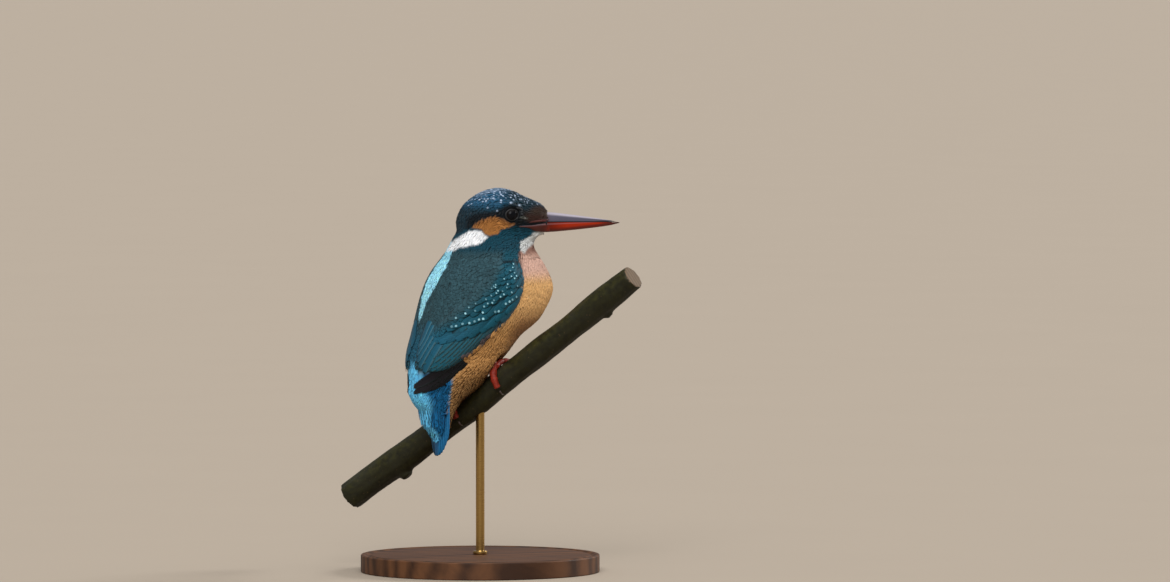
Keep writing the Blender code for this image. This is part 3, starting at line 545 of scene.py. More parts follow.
def painted(points):
    """The coat's colour at each point: one set of markings, painted shade and highlight, for skin and
    feathers.

    Each marking is laid over those before it. x, y and z are the place in millimetres; f, r and u
    are forward, aside and up of the head's middle.
    """
    group = plumage()
    points = np.asarray(points)
    wander = ripple(points, 2.6)
    x, y, z = (points / MM).T
    side = np.abs(y)
    f, r, u = head_places(points)
    cheek_side = np.abs(r)
    f, u = f + wander * 0.35, u + ripple(points, 2.1, 2.0) * 0.3
    result = np.tile(tone(group, "breast"), (len(points), 1))

    def lay(name, share):
        nonlocal result
        share = np.clip(share, 0, 1)[:, None]
        result = result * (1 - share) + tone(group, name) * share

    # the underparts
    front = wing_front(z)
    upper_breast = smooth(z, 132.0, 142.0)
    lay("breast_top", upper_breast)
    lay("flank", 1 - smooth(z + wander * 3, 106.0, 124.0))
    lay("vent", 1 - smooth(z, 84.0, 98.0))
    # painted shade under the head and chin, in the collar's brown-red
    lay("collar", smooth(z, 144.4, 147.0))
    # painted shade in the hollow between the breast and the wing's bend
    fold = (1 - smooth(x - front, 0.8, 3.2)) * smooth(z, 135.0, 140.0) * smooth(side, 9.0, 12.0)
    lay("fold", fold * 0.6)
    # painted shade on the lower front of the breast
    lay("breast_shade", smooth(x, 2.0, 12.0) * (1 - smooth(z, 112.0, 124.0)) * 0.7)
    # the upper parts: everything behind the wing's front edge and over its lower edge
    edge = front + wander * 0.4
    upper = smooth(edge - x, -0.6, 0.6) * smooth(z, 91.0, 94.0)
    upper = np.maximum(upper, smooth(z, 147.2, 148.4))
    lay("covert", upper)
    over_wing = z - np.interp(x, (-36, -30, -20, -7, 1, 6), (103, 108, 118, 129.4, 141, 150))
    lay("mantle", upper * smooth(over_wing, -2.0, 4.0))
    lay("tertial", upper * (1 - smooth(z, 104.0, 118.0)) * smooth(edge - x, 8.0, 14.0))
    # painted shade along the wing's lower edge
    low_edge = smooth(front - x, -1.0, 0.4) * (1 - smooth(front - x, 2.0, 5.0))
    lay("fold", low_edge * (1 - smooth(z, 108.0, 120.0)) * upper * 0.7)
    lay("cheek", smooth(z, 145.5, 150.0) * upper)
    # painted shadow: a thin dark line where the wing's bend meets the neck's feathers
    bend = smooth(z, 142.2, 142.7) * (1 - smooth(z, 143.3, 143.9))
    bend = bend * smooth(x, 0.0, 2.0) * smooth(side, 12.0, 14.0)
    lay("quill_edge_and_shadow", bend * upper * 0.9)
    # below the wings: blue behind, orange in front
    rear = smooth(-x, 20.6, 22.0) * (1 - smooth(z, 91.5, 94.0))
    lay("rump", rear)
    azure = np.interp(z, (60, 72, 79, 92), (4.2, 4.8, 7.6, 7.6))
    lay("tail", rear * smooth(side, azure - 1.2, azure + 1.2))
    lay("rump", smooth(-x, 30.0, 33.0) * (1 - smooth(z, 94.0, 99.0)) * (1 - smooth(side, 3.0, 5.5)))
    back = smooth(-x, 10.0, 12.0) * smooth(z, 114.0, 117.0) * (1 - smooth(u, -13.8, -12.6))
    lay("stripe", back * (1 - smooth(off_stripe(y, z) + wander * 0.4, -0.5, 0.5)))
    # the head: its sides first, then what is under the throat's edge
    head = smooth(u, -13.5, -12.5)
    lay("cheek", head)
    throat_edge = np.interp(f, (6.5, 9.0, 12.5, 17.0), (-16.5, -15.5, -13.2, -11.8))
    below = (1 - smooth(u - throat_edge, -0.5, 0.5)) * smooth(f, 6.5, 8.0)
    lay("breast_top", below * upper_breast)
    # more painted shade under the chin, over the throat's lower edge
    lay("collar", below * smooth(z, 144.4, 148.0) * 0.6)
    # crown and nape
    cap_edge = np.interp(f, (-22, -14, -8, 4, 14, 22), (-9.5, -4.0, -3.0, -3.6, -5.5, -5.5))
    cap = smooth(u - cap_edge, -0.8, 0.8) * head
    lay("crown", cap)
    lay("crown_rear", cap * smooth(u, 1.0, 7.0) * smooth(-f, -6.0, 6.0) * 0.8)
    # painted highlight: the top of the crown made lighter, where light from above falls
    ridge = np.interp(f, (-12, 0, 6, 13, 21), (8.0, 11.4, 10.4, 7.2, 2.8))
    lay("crown_bar_and_top_highlight", cap * smooth(u - ridge, -0.6, 1.4) * 0.42)
    lay("nape", cap * smooth(-f, 6.0, 13.0) * (1 - smooth(u, -1.0, 5.0)) * 0.85)
    lay("nape", cap * (1 - smooth(u, 0.5, 3.5)) * 0.5)
    # round the eye and before it
    lay("eye_line", within(EYE_LINE, f, u, 0.8) * smooth(cheek_side, 2.5, 4.0) * 0.9)
    reach = np.hypot(f - EYE_FORWARD, u - EYE_UP)
    lay("eye_line", (1 - smooth(reach, 3.6, 5.2)) * smooth(cheek_side, 5.0, 7.0))
    lore = within(LORE_PATCH, f + wander * 0.4, u, 1.5) * smooth(f, 6.5, 15.0)
    lay("lore", lore * 0.85)
    lay("lore_low", lore * (1 - smooth(u + 0.1 * f, 0.6, 2.6)) * 0.7)
    ear = within(EAR_PATCH, f, u, 0.5) * smooth(cheek_side, 5.0, 6.5)
    lay("ear", ear)
    lay("lore_low", ear * (1 - within(EAR_PATCH, f + 0.3, u + 1.5, 1.3)) * 0.55)
    fleck = np.hypot((f - 9.3) / 2.4, (u + 1.1) / 1.0)
    lay("fleck", 0.5 * (1 - smooth(fleck, 0.5, 1.3)))
    lay("throat", 0.3 * (1 - smooth(np.hypot((f - 9.9) / 1.2, (u + 1.3) / 0.3), 0.6, 1.2)))
    for forward, up, half_length, slope in ((2.7, 5.2, 0.9, 0.0), (6.4, 4.6, 1.2, 0.3)):
        brow = np.hypot((f - forward) / half_length, (u - up + (f - forward) * slope) / 0.4)
        lay("crown_bar_and_top_highlight", 0.45 * (1 - smooth(brow, 0.6, 1.2)) * smooth(cheek_side, 5.0, 7.0))
    # white on neck and throat
    neck = within(NECK_PATCH, f, u, 0.5)
    lay("white", neck)
    lay("stripe", neck * (1 - smooth(cheek_side, 0.4, 4.2)) * 0.9)
    lay("throat", within(THROAT_PATCH, f, u, 0.6))
    return result


# --- the skin and what lies on it ---------------------------------------------------------------

surface = {}  # the skin's data and the modelled feathers, kept until a new skin is made


def vertex_places(mesh):
    places = np.empty(len(mesh.vertices) * 3)
    mesh.vertices.foreach_get("co", places)
    return places.reshape(-1, 3)


def skin_surface():
    """The skin's tree, corners and unwrap, read once from the finished skin."""
    skin = bpy.data.objects.get("skin")
    if skin is None:
        raise RuntimeError("make the skin before the coat")
    if "tree" not in surface:
        mesh = skin.data
        places = vertex_places(mesh)
        mesh.calc_loop_triangles()
        triangles, loops = (np.empty(len(mesh.loop_triangles) * 3, dtype=int) for _ in range(2))
        mesh.loop_triangles.foreach_get("vertices", triangles)
        mesh.loop_triangles.foreach_get("loops", loops)
        flat = np.empty(len(mesh.loops) * 2)
        mesh.uv_layers["OFBake"].uv.foreach_get("vector", flat)
        surface["places"] = places
        surface["triangles"] = triangles.reshape(-1, 3)
        surface["unwrap"] = flat.reshape(-1, 2)[loops].reshape(-1, 3, 2)
        surface["tree"] = BVHTree.FromPolygons(
            [Vector(p) for p in places], surface["triangles"].tolist(), all_triangles=True
        )
    return surface


def nearest_on_skin(points):
    """The skin's nearest places to these points, with the skin's facing there."""
    tree = skin_surface()["tree"]
    places, facings = np.empty((len(points), 3)), np.empty((len(points), 3))
    for k, point in enumerate(points.tolist()):
        place, facing, _, _ = tree.find_nearest(point)
        places[k], facings[k] = place, facing
    return places, facings


def unwrap_places(points):
    """Each point's place on the unwrap of the skin's own shape."""
    data = skin_surface()
    tree, triangles, corners, flat = data["tree"], data["triangles"], data["places"], data["unwrap"]
    result = np.empty((len(points), 2))
    for k, point in enumerate(points.tolist()):
        place, _, index, _ = tree.find_nearest(point)
        a, b, c = (Vector(corners[v]) for v in triangles[index])
        ua, ub, uc = (Vector((*corner, 0.0)) for corner in flat[index])
        result[k] = barycentric_transform(place, a, b, c, ua, ub, uc)[:2]
    return result


def unit(vectors):
    return vectors / np.maximum(np.linalg.norm(vectors, axis=-1, keepdims=True), 1e-12)


def lie(points, facings):
    """The way that feathers point at these places, along the skin."""
    f, r, u = head_places(points)
    x, y, z = (points / MM).T
    # on the head they fan back from the bill and droop towards the nape
    source_f, source_u = BILL_SOURCE
    fan = unit(np.outer(f - source_f, FORWARD) + np.outer(r, ASIDE) + np.outer(u - source_u, UP))
    on_head = smooth(u, -19.0, -11.0)[:, None]
    droop = 0.15 + 1.5 * smooth(-f, -1.0, 13.0)
    head_way = unit(fan + np.outer(droop, (0, 0, -1.0)))
    # on the breast they point down, under the body backwards, and on the wings along the quills
    wing = (smooth(wing_front(z) - x, -2.0, 3.0) * smooth(np.abs(y), 5.0, 11.0))[:, None]
    low = (1 - smooth(z, 92.0, 112.0))[:, None]
    front_way = np.array((-0.32, 0.0, -1.0)) * (1 - low) + np.array((-0.95, 0.0, -0.62)) * low
    trunk_way = unit(front_way * (1 - wing) + np.array((-0.72, 0.0, -0.78)) * wing)
    # on the rump they hang straight down
    behind = smooth(-x, 18.0, 26.0)[:, None] * (1 - wing)
    trunk_way = unit(trunk_way * (1 - behind) + np.array((-0.1, 0.0, -1.0)) * behind)
    way = head_way * on_head + trunk_way * (1 - on_head)
    return unit(way - facings * np.sum(way * facings, axis=1, keepdims=True))


def tract_places(points):
    """Which tract each place on the skin belongs to."""
    f, r, u = head_places(points)
    x, y, z = (points / MM).T
    side, aside = np.abs(y), np.abs(r)
    # the underparts, then what the wings and the back cover, rump and stripe
    kind = np.full(len(points), TRACT["breast"])
    kind[z < 112] = TRACT["belly"]
    kind[(z < 106) & (z > 84) & (x > -12) & (side < 17) & (x < 14)] = TRACT["thigh"]
    front = wing_front(z)
    upper = (x < front) & (z > 93)
    kind[upper] = TRACT["mantle"]
    kind[upper & (x > front - 8) & (z > 138)] = TRACT["shoulder"]
    kind[upper & (x > front - 3) & (z > 120)] = TRACT["shoulder"]
    kind[(x < -20.8) & (z <= 93)] = TRACT["rump"]
    kind[(x < -30) & (z <= 99) & (side < 5)] = TRACT["rump"]
    kind[(x < -10) & (z > 112) & (off_stripe(y, z) < 0.5)] = TRACT["stripe"]
    # the head: neck and cheeks, then crown, forehead and face, and the eye's surroundings
    kind[u > -17.5] = TRACT["neck"]
    kind[(u > -12) & (f > -12)] = TRACT["cheek"]
    kind[(within(THROAT_PATCH, f, u) > 0.4) & (u > -18)] = TRACT["throat"]
    kind[(within(EAR_PATCH, f, u) > 0.4) & (aside > 5)] = TRACT["ear"]
    cap = u > np.interp(f, (-22, -14, -8, 4, 14, 22), (-8.0, -3.0, -1.0, -0.8, 1.0, 1.0))
    kind[cap] = TRACT["crown"]
    kind[cap & (f > 11.0)] = TRACT["forehead"]
    kind[(f > 9.5) & (u > -7.5) & (u < 3.5)] = TRACT["face"]
    reach = np.hypot(f - EYE_FORWARD, u - EYE_UP)
    kind[(reach < 5.0) & (aside > 6)] = TRACT["face"]
    kind[(reach < 4.7) & (aside > 6)] = TRACT["lid edge"]
    kind[(reach < 3.8) & (aside > 5)] = TRACT["bare"]
    for rim in (GAPE_LOWER, GAPE_UPPER):
        forwards, lows, highs = zip(*rim)
        low, high = np.interp(f, forwards, lows), np.interp(f, forwards, highs)
        kind[(f > forwards[0]) & (u > low) & (u < high) & (aside > 2.0)] = TRACT["bare"]
    # under the wing's long feathers and their coverts nothing else grows
    line = np.interp(x, (-36, -28, -21, -9, 0, 12), (104, 111, 118, 130, 138, 144.5))
    beside = side > 4.6
    kind[(kind == TRACT["mantle"]) & beside & (z < line + 5)] = TRACT["scapular"]
    covered = beside & (z < 138) & (z > 93) & (x < front - 1.6)
    kind[covered & (z < line)] = TRACT["bare"]
    return kind


def scattered(seed, tries=9):
    """Feather roots over the whole skin, as far apart as their tract asks.

    Far more places are drawn than can stay: tries for each, of which the first come stay.
    """
    data = skin_surface()
    distances = np.array([tract.apart for tract in TRACTS]) * MM
    a, b, c = (data["places"][data["triangles"][:, k]] for k in range(3))
    normals = np.cross(b - a, c - a)
    areas, facings = np.linalg.norm(normals, axis=1) / 2, unit(normals)
    expected = areas / distances[tract_places((a + b + c) / 3)] ** 2
    random = np.random.default_rng(seed)
    number = int(expected.sum() * tries)
    chosen = random.choice(len(areas), size=number, p=expected / expected.sum())
    first, second = random.random((2, len(chosen), 1))
    fold = first + second > 1
    first, second = np.where(fold, 1 - first, first), np.where(fold, 1 - second, second)
    spots = a[chosen] + first * (b - a)[chosen] + second * (c - a)[chosen]
    kinds = tract_places(spots)
    apart = distances[kinds]
    tree = KDTree(len(spots))
    for k, spot in enumerate(spots.tolist()):
        tree.insert(spot, k)
    tree.balance()
    free = np.ones(len(spots), dtype=bool)
    kept = []
    for k, spot in enumerate(spots.tolist()):
        if free[k] and kinds[k] != TRACT["bare"]:
            kept.append(k)
            for _, other, _ in tree.find_range(spot, apart[k]):
                free[other] = False
    kept = np.array(kept)
    return spots[kept], facings[chosen][kept], kinds[kept]


# --- feathers -----------------------------------------------------------------------------------

# A feather modelled flat: its vertices, faces and levels from root to tip, and for each vertex its
# level, its share along the vane and its share of the half width across it
Vane = namedtuple("Vane", "places faces levels row along across")

# Outlines of the modelled feathers: share along, and half width there
PLUME = ((0.0, 0.35), (0.3, 0.8), (0.6, 1.0), (0.85, 0.75), (1.0, 0.22))
VANE = ((0.0, 0.4), (0.28, 0.85), (0.55, 1.0), (0.78, 0.92), (0.93, 0.62), (1.0, 0.28))
RECTRIX = (
    (0.0, 0.5), (0.15, 0.8), (0.3, 0.95), (0.45, 1.0), (0.6, 1.0), (0.75, 1.0),
    (0.87, 0.96), (0.94, 0.84), (0.985, 0.6), (1.0, 0.34),
)
QUILL = (
    (0.0, 0.5), (0.1, 0.78), (0.22, 0.92), (0.36, 1.0), (0.5, 1.0), (0.64, 0.98),
    (0.77, 0.92), (0.88, 0.76), (0.96, 0.48), (1.0, 0.2),
)

VANE_FOLLOW = 1.2 * MM  # how far a vane bends down to the skin beside its shaft
SUNK = 0.12 * MM  # how far roots and covered feathers lie under the skin
BAKE_PATCH = 0.003  # how much of the skin's unwrap one feather takes up


def model_vane(columns, outline, lift, tip_dip):
    """One feather, modelled flat: root at y 0, tip at y 1, half width 1, closed top and bottom.

    The shaft stands up by lift, and the corners of the tip draw back by tip_dip.
    """
    grid = bpy.ops.mesh.primitive_grid_add
    feather = primitive(grid, x_subdivisions=columns, y_subdivisions=len(outline) - 1, size=2)
    editing(feather)
    near, aside, gap = 1e-4, 10, 1
    heights = sorted({round(v.co.y, 5) for v in feather.data.vertices})
    # each row is shaped and then put well aside, so that it isn't chosen again
    for height, (place, width) in zip(heights, outline):
        choose(feather, "VERT", lambda co: abs(co.y - height) < near)
        bpy.ops.transform.resize(value=(width, 1, 1), center_override=(0, height, 0))
        bpy.ops.transform.translate(value=(0, aside + place - height, 0))
    bpy.ops.mesh.select_all(action="SELECT")
    bpy.ops.transform.translate(value=(0, -aside, 0))
    far, tip_width = outline[-1]
    shift(feather, lambda co: abs(co.y - far) < near and abs(co.x) > tip_width * 0.8, 0, -tip_dip, 0)
    # an underside that shares the rim, and a shaft that stands up
    bpy.ops.mesh.select_all(action="SELECT")
    bpy.ops.mesh.duplicate()
    bpy.ops.mesh.flip_normals()
    bpy.ops.transform.translate(value=(0, 0, -gap))
    shares, half_widths = zip(*outline)

    def inner(co):
        width = np.interp(co.y, shares, half_widths)
        return abs(co.x) < width * 0.9 and near < co.y < far - near

    shift(feather, lambda co: co.z < -gap / 2 and not inner(co), 0, 0, gap)
    shift(feather, lambda co: co.z < -gap / 2, 0, 0, gap - lift * 0.35)
    shift(feather, lambda co: co.z > -0.01 * lift and inner(co), 0, 0, lift * 0.6)
    shift(feather, lambda co: co.z > 0.1 * lift and inner(co) and abs(co.x) < 0.05, 0, 0, lift * 0.4)
    bpy.ops.mesh.select_all(action="SELECT")
    bpy.ops.mesh.remove_doubles(threshold=1e-3)
    done(feather)
    places = np.array([v.co[:] for v in feather.data.vertices])
    faces = np.array([p.vertices[:] for p in feather.data.polygons])
    bpy.data.objects.remove(feather)
    along = places[:, 1]
    levels = np.array(sorted({round(float(v), 3) for v in along}))
    row = np.abs(along[:, None] - levels[None]).argmin(axis=1)
    widest = np.array([np.abs(places[np.abs(along - y) < 0.06, 0]).max() for y in along])
    across = np.where(widest > 0, places[:, 0] / np.maximum(widest, 1e-6), 0)
    return Vane(places, faces, levels, row, along, across)


def master_vanes():
    """The four feathers that all the others copy, each modelled once."""
    if "vanes" not in surface:
        surface["vanes"] = {
            "plume": model_vane(2, PLUME, 0.10, 0.05),
            "vane": model_vane(4, VANE, 0.10, 0.03),
            "quill": model_vane(4, QUILL, 0.02, 0.008),
            "rectrix": model_vane(4, RECTRIX, 0.04, 0.004),
        }
    return surface["vanes"]


def laid_out(master, lines, facings, half_widths, heights, on_skin, tilt=0.0):
    """Places of every vertex of many feathers, copies of the master along their own lines.

    lines and facings are feathers x levels x 3; heights are feathers x levels over the skin. With
    on_skin the vanes bend to the skin beside their shafts. tilt lifts one edge of each feather and
    sinks the other, so that neighbours overlap like shingles.
    """
    row, outwards, upwards = master.row, master.places[:, 0], master.places[:, 2]
    across = unit(np.cross(unit(np.gradient(lines, axis=1)), facings))
    spots = lines[:, row] + across[:, row] * (outwards[None, :, None] * half_widths[:, None, None])
    normals = facings[:, row]
    if on_skin:
        near, normals = nearest_on_skin(spots.reshape(-1, 3))
        near, normals = near.reshape(spots.shape), normals.reshape(spots.shape)
        # a feather doesn't fold over an edge: it only follows the skin a little way
        drop = np.linalg.norm(near - spots, axis=2, keepdims=True)
        spots = spots + (near - spots) * np.clip(VANE_FOLLOW / np.maximum(drop, 1e-9), 0, 1)
        normals = unit(facings[:, row] * 0.6 + normals * 0.4)
    rise = heights[:, row] + upwards[None] * half_widths[:, None] + tilt * outwards[None]
    return spots + normals * rise[:, :, None]


def marked(mesh, tints, strength):
    """Stores each vertex's colour and the strength of its spot as the mesh's markings."""
    marks = mesh.color_attributes.new("markings", "FLOAT_COLOR", "POINT")
    marks.data.foreach_set("color", np.hstack((tints, strength[:, None])).ravel())


def joined_vanes(name, groups):
    """One mesh of many feathers: each group is master, places, colours, spots and bake places."""
    verts, faces, tinted, strengths, vane_uv, bake_uv, base = [], [], [], [], [], [], 0
    for master, spots, tints, spotted, roots in groups:
        count, number = spots.shape[:2]
        if not count:
            continue
        starts = base + np.arange(count) * number
        faces.append((master.faces[None] + starts[:, None, None]).reshape(-1, 4))
        verts.append(spots.reshape(-1, 3))
        tinted.append(np.clip(tints, 0, 1).reshape(-1, 3))
        strengths.append(np.repeat(np.broadcast_to(spotted, (count,)), number))
        own = np.stack((master.across * 0.5 + 0.5, master.along), axis=1)
        vane_uv.append(np.tile(own, (count, 1)))
        bake_uv.append((roots[:, None] + (own - 0.5)[None] * BAKE_PATCH).reshape(-1, 2))
        base += count * number
    verts, faces = np.concatenate(verts), np.concatenate(faces)
    mesh = bpy.data.meshes.new(name)
    mesh.vertices.add(len(verts))
    mesh.vertices.foreach_set("co", verts.ravel())
    mesh.loops.add(faces.size)
    mesh.loops.foreach_set("vertex_index", faces.ravel())
    mesh.polygons.add(len(faces))
    mesh.polygons.foreach_set("loop_start", np.arange(0, faces.size, 4))
    mesh.polygons.foreach_set("use_smooth", np.ones(len(faces), dtype=bool))
    mesh.update(calc_edges=True)
    for layer, flat in (("vane", vane_uv), ("OFBake", bake_uv)):
        uv = mesh.uv_layers.new(name=layer)
        uv.uv.foreach_set("vector", np.concatenate(flat)[faces.ravel()].ravel())
    marked(mesh, np.concatenate(tinted), np.concatenate(strengths))
    obj = bpy.data.objects.new(name, mesh)
    bpy.context.scene.collection.objects.link(obj)
    return obj


def grown_lines(levels, roots, normals, kind, lengths, turn):
    """Each feather's line and facings: it follows the lie over the skin, level by level."""
    lines, facings = [roots], [normals]
    for step in np.diff(levels):
        way = lie(lines[-1], facings[-1])
        way = unit(way + np.cross(facings[-1], way) * turn[:, None])
        onward = lines[-1] + way * (lengths * step)[:, None]
        place, facing = nearest_on_skin(onward)
        # below the body the tail coverts run straight on, over the tail
        free = (kind == TRACT["rump"]) & (onward[:, 2] < BODY_END * MM)
        fall = lines[-1] + np.array((0.22, 0.0, -1.0)) * (lengths * step)[:, None]
        fall[:, 0] = np.minimum(fall[:, 0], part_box("tail")[0].x - 0.1 * MM)
        place[free], facing[free] = fall[free], facings[-1][free]
        lines.append(place)
        facings.append(unit(facing + facings[-1]))
    return np.stack(lines, axis=1), np.stack(facings, axis=1)


def raised(levels, lines, facings, kind, rises, f, r, reach):
    """How high each feather stands over the skin at its levels."""
    x, y, z = np.moveaxis(lines / MM, 2, 0)
    side = np.abs(y)
    # the underparts' feathers tuck in under the wing's edge, and all of them under its tip
    orange = np.isin(kind, [TRACT["breast"], TRACT["belly"], TRACT["thigh"]])[:, None]
    under = smooth(wing_front(z) - x, -0.8, 0.5) * smooth(side, 6.0, 9.0)
    under = under * smooth(z, 92.0, 94.0) * orange
    tip = within(TIP_PATCH, x.ravel(), z.ravel(), 0.8).reshape(x.shape) * smooth(side, 3.0, 4.5)
    # underneath the body they hang loose
    loose = smooth(-facings[:, :, 2], 0.1, 0.6) * (1 - smooth(z, 93.0, 101.0)) * 1.8 * MM * orange
    heights = -SUNK + (rises[:, None] + SUNK + loose) * levels[None] ** 0.8
    heights = heights * (1 - under) * (1 - tip) - SUNK * np.maximum(under, tip)
    # on the chin they lie flat
    heights = heights * (1 - 0.75 * smooth(f, 15.5, 18.5) * (kind == TRACT["throat"])[:, None])
    # round the eye they stand up to the lid
    near = 1 - smooth(reach, 3.8, 6.8)
    return heights + np.clip(EYE_RIM - np.abs(r), 0, 1.5) * near * MM


def contour_feathers(roots, facings, kinds, seed):
    """The body's small feathers, one group for each modelled feather."""
    random = np.random.default_rng(seed)
    groups = []
    for shape in ("plume", "vane"):
        master = master_vanes()[shape]
        mine = np.array([TRACTS[k].vane == shape for k in kinds])
        if not mine.any():
            continue
        kind = kinds[mine]
        table = np.array([(t.length, t.half_width, t.rise) for t in TRACTS])[kind] * MM
        spread = 1.0 if shape == "plume" else 0.4  # vaned feathers lie in better order than plumes
        lengths = table[:, 0] * (1 + spread * random.uniform(-0.14, 0.14, len(kind)))
        widths = table[:, 1] * random.uniform(0.90, 1.10, len(kind))
        rises = table[:, 2] * (1 + spread * random.uniform(-0.15, 0.15, len(kind)))
        turn = random.normal(0, 0.08, len(kind)) * np.where(kind == TRACT["rump"], 0.4, 1.0)
        line, faces = grown_lines(master.levels, roots[mine], facings[mine], kind, lengths, turn)
        f, r, u = (part.reshape(line.shape[:2]) for part in head_places(line.reshape(-1, 3)))
        # none grows over the eye
        reach = np.where(np.abs(r) > 5, np.hypot(f - EYE_FORWARD, u - EYE_UP), np.inf)
        clear = (reach > 3.2).all(axis=1)
        line, faces, kind, f, r, reach = (part[clear] for part in (line, faces, kind, f, r, reach))
        heights = raised(master.levels, line, faces, kind, rises[clear], f, r, reach)
        # round the eye they face sideways
        turned = (1 - smooth(reach, 3.9, 5.6))[:, :, None]
        faces = unit(faces * (1 - turned) + np.sign(r)[:, :, None] * np.array(ASIDE) * turned)
        spots = laid_out(master, line, faces, widths[clear], heights, shape == "vane")
        tints, spotted = feather_tints(master, kind, line, random)
        groups.append((master, spots, tints, spotted, unwrap_places(line[:, 0])))
    return groups


def feather_tints(master, kind, line, random):
    """Colour of every vertex, from the markings where it lies, and how strong each tip's spot is."""
    along, count = master.along, len(line)
    tints = painted(line.reshape(-1, 3)).reshape(line.shape)[:, master.row]
    down = (0.84 + 0.16 * smooth(along, 0.1, 0.5))[None, :, None]
    mottled = np.where(np.isin(kind, [TRACT["mantle"], TRACT["scapular"]]), 0.13, 0.06)
    tints = tints * down * (1 + random.normal(0, 1, count) * mottled)[:, None, None]
    # a few brighter tips among the azure and the blue-green ones
    bright = np.isin(kind, [TRACT["rump"], TRACT["cheek"], TRACT["stripe"]])
    bright = bright & (random.random(count) < 0.22)
    tints = tints * (1 + 0.35 * (smooth(along, 0.6, 0.9)[None, :, None] * bright[:, None, None]))
    # a vaned feather's edges are a little darker
    vaned = np.array([tract.vane == "vane" for tract in TRACTS])[kind]
    edge = (np.abs(master.across) > 0.8)[None, :, None] * vaned[:, None, None]
    tints = tints * (1 - 0.10 * edge)
    # barred tips on the crown, more and stronger towards its top
    _, _, u = head_places(line[:, -1])
    chance = 0.06 * smooth(u, -5.0, 0.0) + 0.54 * smooth(u, 2.5, 9.5)
    barred = np.isin(kind, [TRACT["crown"], TRACT["forehead"]]) & (random.random(count) < chance)
    return tints, barred * random.random(count) ** 1.3 * (0.5 + 0.5 * smooth(u, 2.0, 9.0))


def side_line(root, tip, bow, levels, side, behind=False):
    """A line on the wing's outer face between two places seen from the side, or from behind."""
    tree = skin_surface()["tree"]
    root, tip = np.array(root, dtype=float), np.array(tip, dtype=float)
    run = tip - root
    square = np.array((-run[1], run[0])) / np.hypot(*run)
    outside = 60.0
    places, facings = [], []
    for share in levels:
        level, height = root + run * share + square * (bow * math.sin(math.pi * share))
        if behind:
            start, way, guess = (-outside, side * level), (1, 0, 0), (-20.0, side * level)
        else:
            start, way, guess = (level, side * outside), (0, -side, 0), (level, side * 3.0)
        hit, facing, _, _ = tree.ray_cast(Vector((*start, height)) * MM, Vector(way))
        if hit is None:
            hit, facing, _, _ = tree.find_nearest(Vector((*guess, height)) * MM)
        places.append(hit)
        facings.append(facing)
    return np.array(places), np.array(facings)


def even_points(line, number):
    """Points at even distances along a polyline."""
    corners = np.array(line, dtype=float)
    steps = np.concatenate(([0], np.cumsum(np.hypot(*np.diff(corners, axis=0).T))))
    wanted = np.linspace(0, steps[-1], number)
    return np.stack([np.interp(wanted, steps, corners[:, k]) for k in (0, 1)], axis=1)


def eased(facings):
    """Facings along a feather, evened out so that it bends softly."""
    result = facings
    for _ in range(3):
        padded = np.concatenate((result[:, :1], result, result[:, -1:]), axis=1)
        result = unit(padded[:, :-2] + padded[:, 1:-1] * 2 + padded[:, 2:])
    return result


def on_wing(master, lines, facings, widths, heights, tints, spotted, tilt):
    """A group of feathers that lie over a folded wing, ready to be joined."""
    lines, facings = np.array(lines), eased(np.array(facings))
    spots = laid_out(master, lines, facings, np.array(widths), np.array(heights), True, tilt)
    return (master, spots, np.array(tints), np.array(spotted), unwrap_places(lines[:, 0]))


def quill_feathers(side, random):
    """Primaries, secondaries and tertials of one folded wing."""
    group = plumage()
    master = master_vanes()["quill"]
    levels = master.levels
    lines, facings, widths, heights, tints = [], [], [], [], []
    for quill in QUILLS:
        tertial = quill.kind == "tertial"
        places, normals = side_line(quill.root, quill.tip, quill.bow, levels, side, tertial)
        lines.append(places)
        facings.append(normals)
        widths.append(quill.half_width * MM)
        low = quill.layer * LAYER * MM * smooth(levels, -0.05, 0.35)
        if tertial:
            low = low * smooth(levels, 0.15, 0.5) - 0.3 * MM * (1 - smooth(levels, 0.1, 0.45))
        heights.append(low + (0.20 + 0.25 * levels) * MM)
        outer = tone(group, quill.kind)
        inner = tone(group, "quill_edge_and_shadow") if quill.kind == "secondary" else outer * 0.8
        # the lower web shows its colour and its pale rim; the upper web of the secondaries is dark
        lower = side * master.across
        share = smooth(-lower, -0.1, 0.6)[:, None]
        tint = outer * (1 - share) + inner * share
        light = smooth(lower, 0.8, 1.0)[:, None] * (0.08 if quill.kind == "primary" else 0.22)
        tint = tint * (1 - light) + tone(group, "spot") * light
        # the webs nearest the wing's front edge are in shade
        place = places[master.row] / MM
        lightness = 0.55 + 0.45 * smooth(wing_front(place[:, 2]) - place[:, 0], 1.5, 7.0)
        tints.append(tint * lightness[:, None] * random.normal(1.0, 0.05))
    return on_wing(master, lines, facings, widths, heights, tints, 0.0, side * 0.10 * MM)


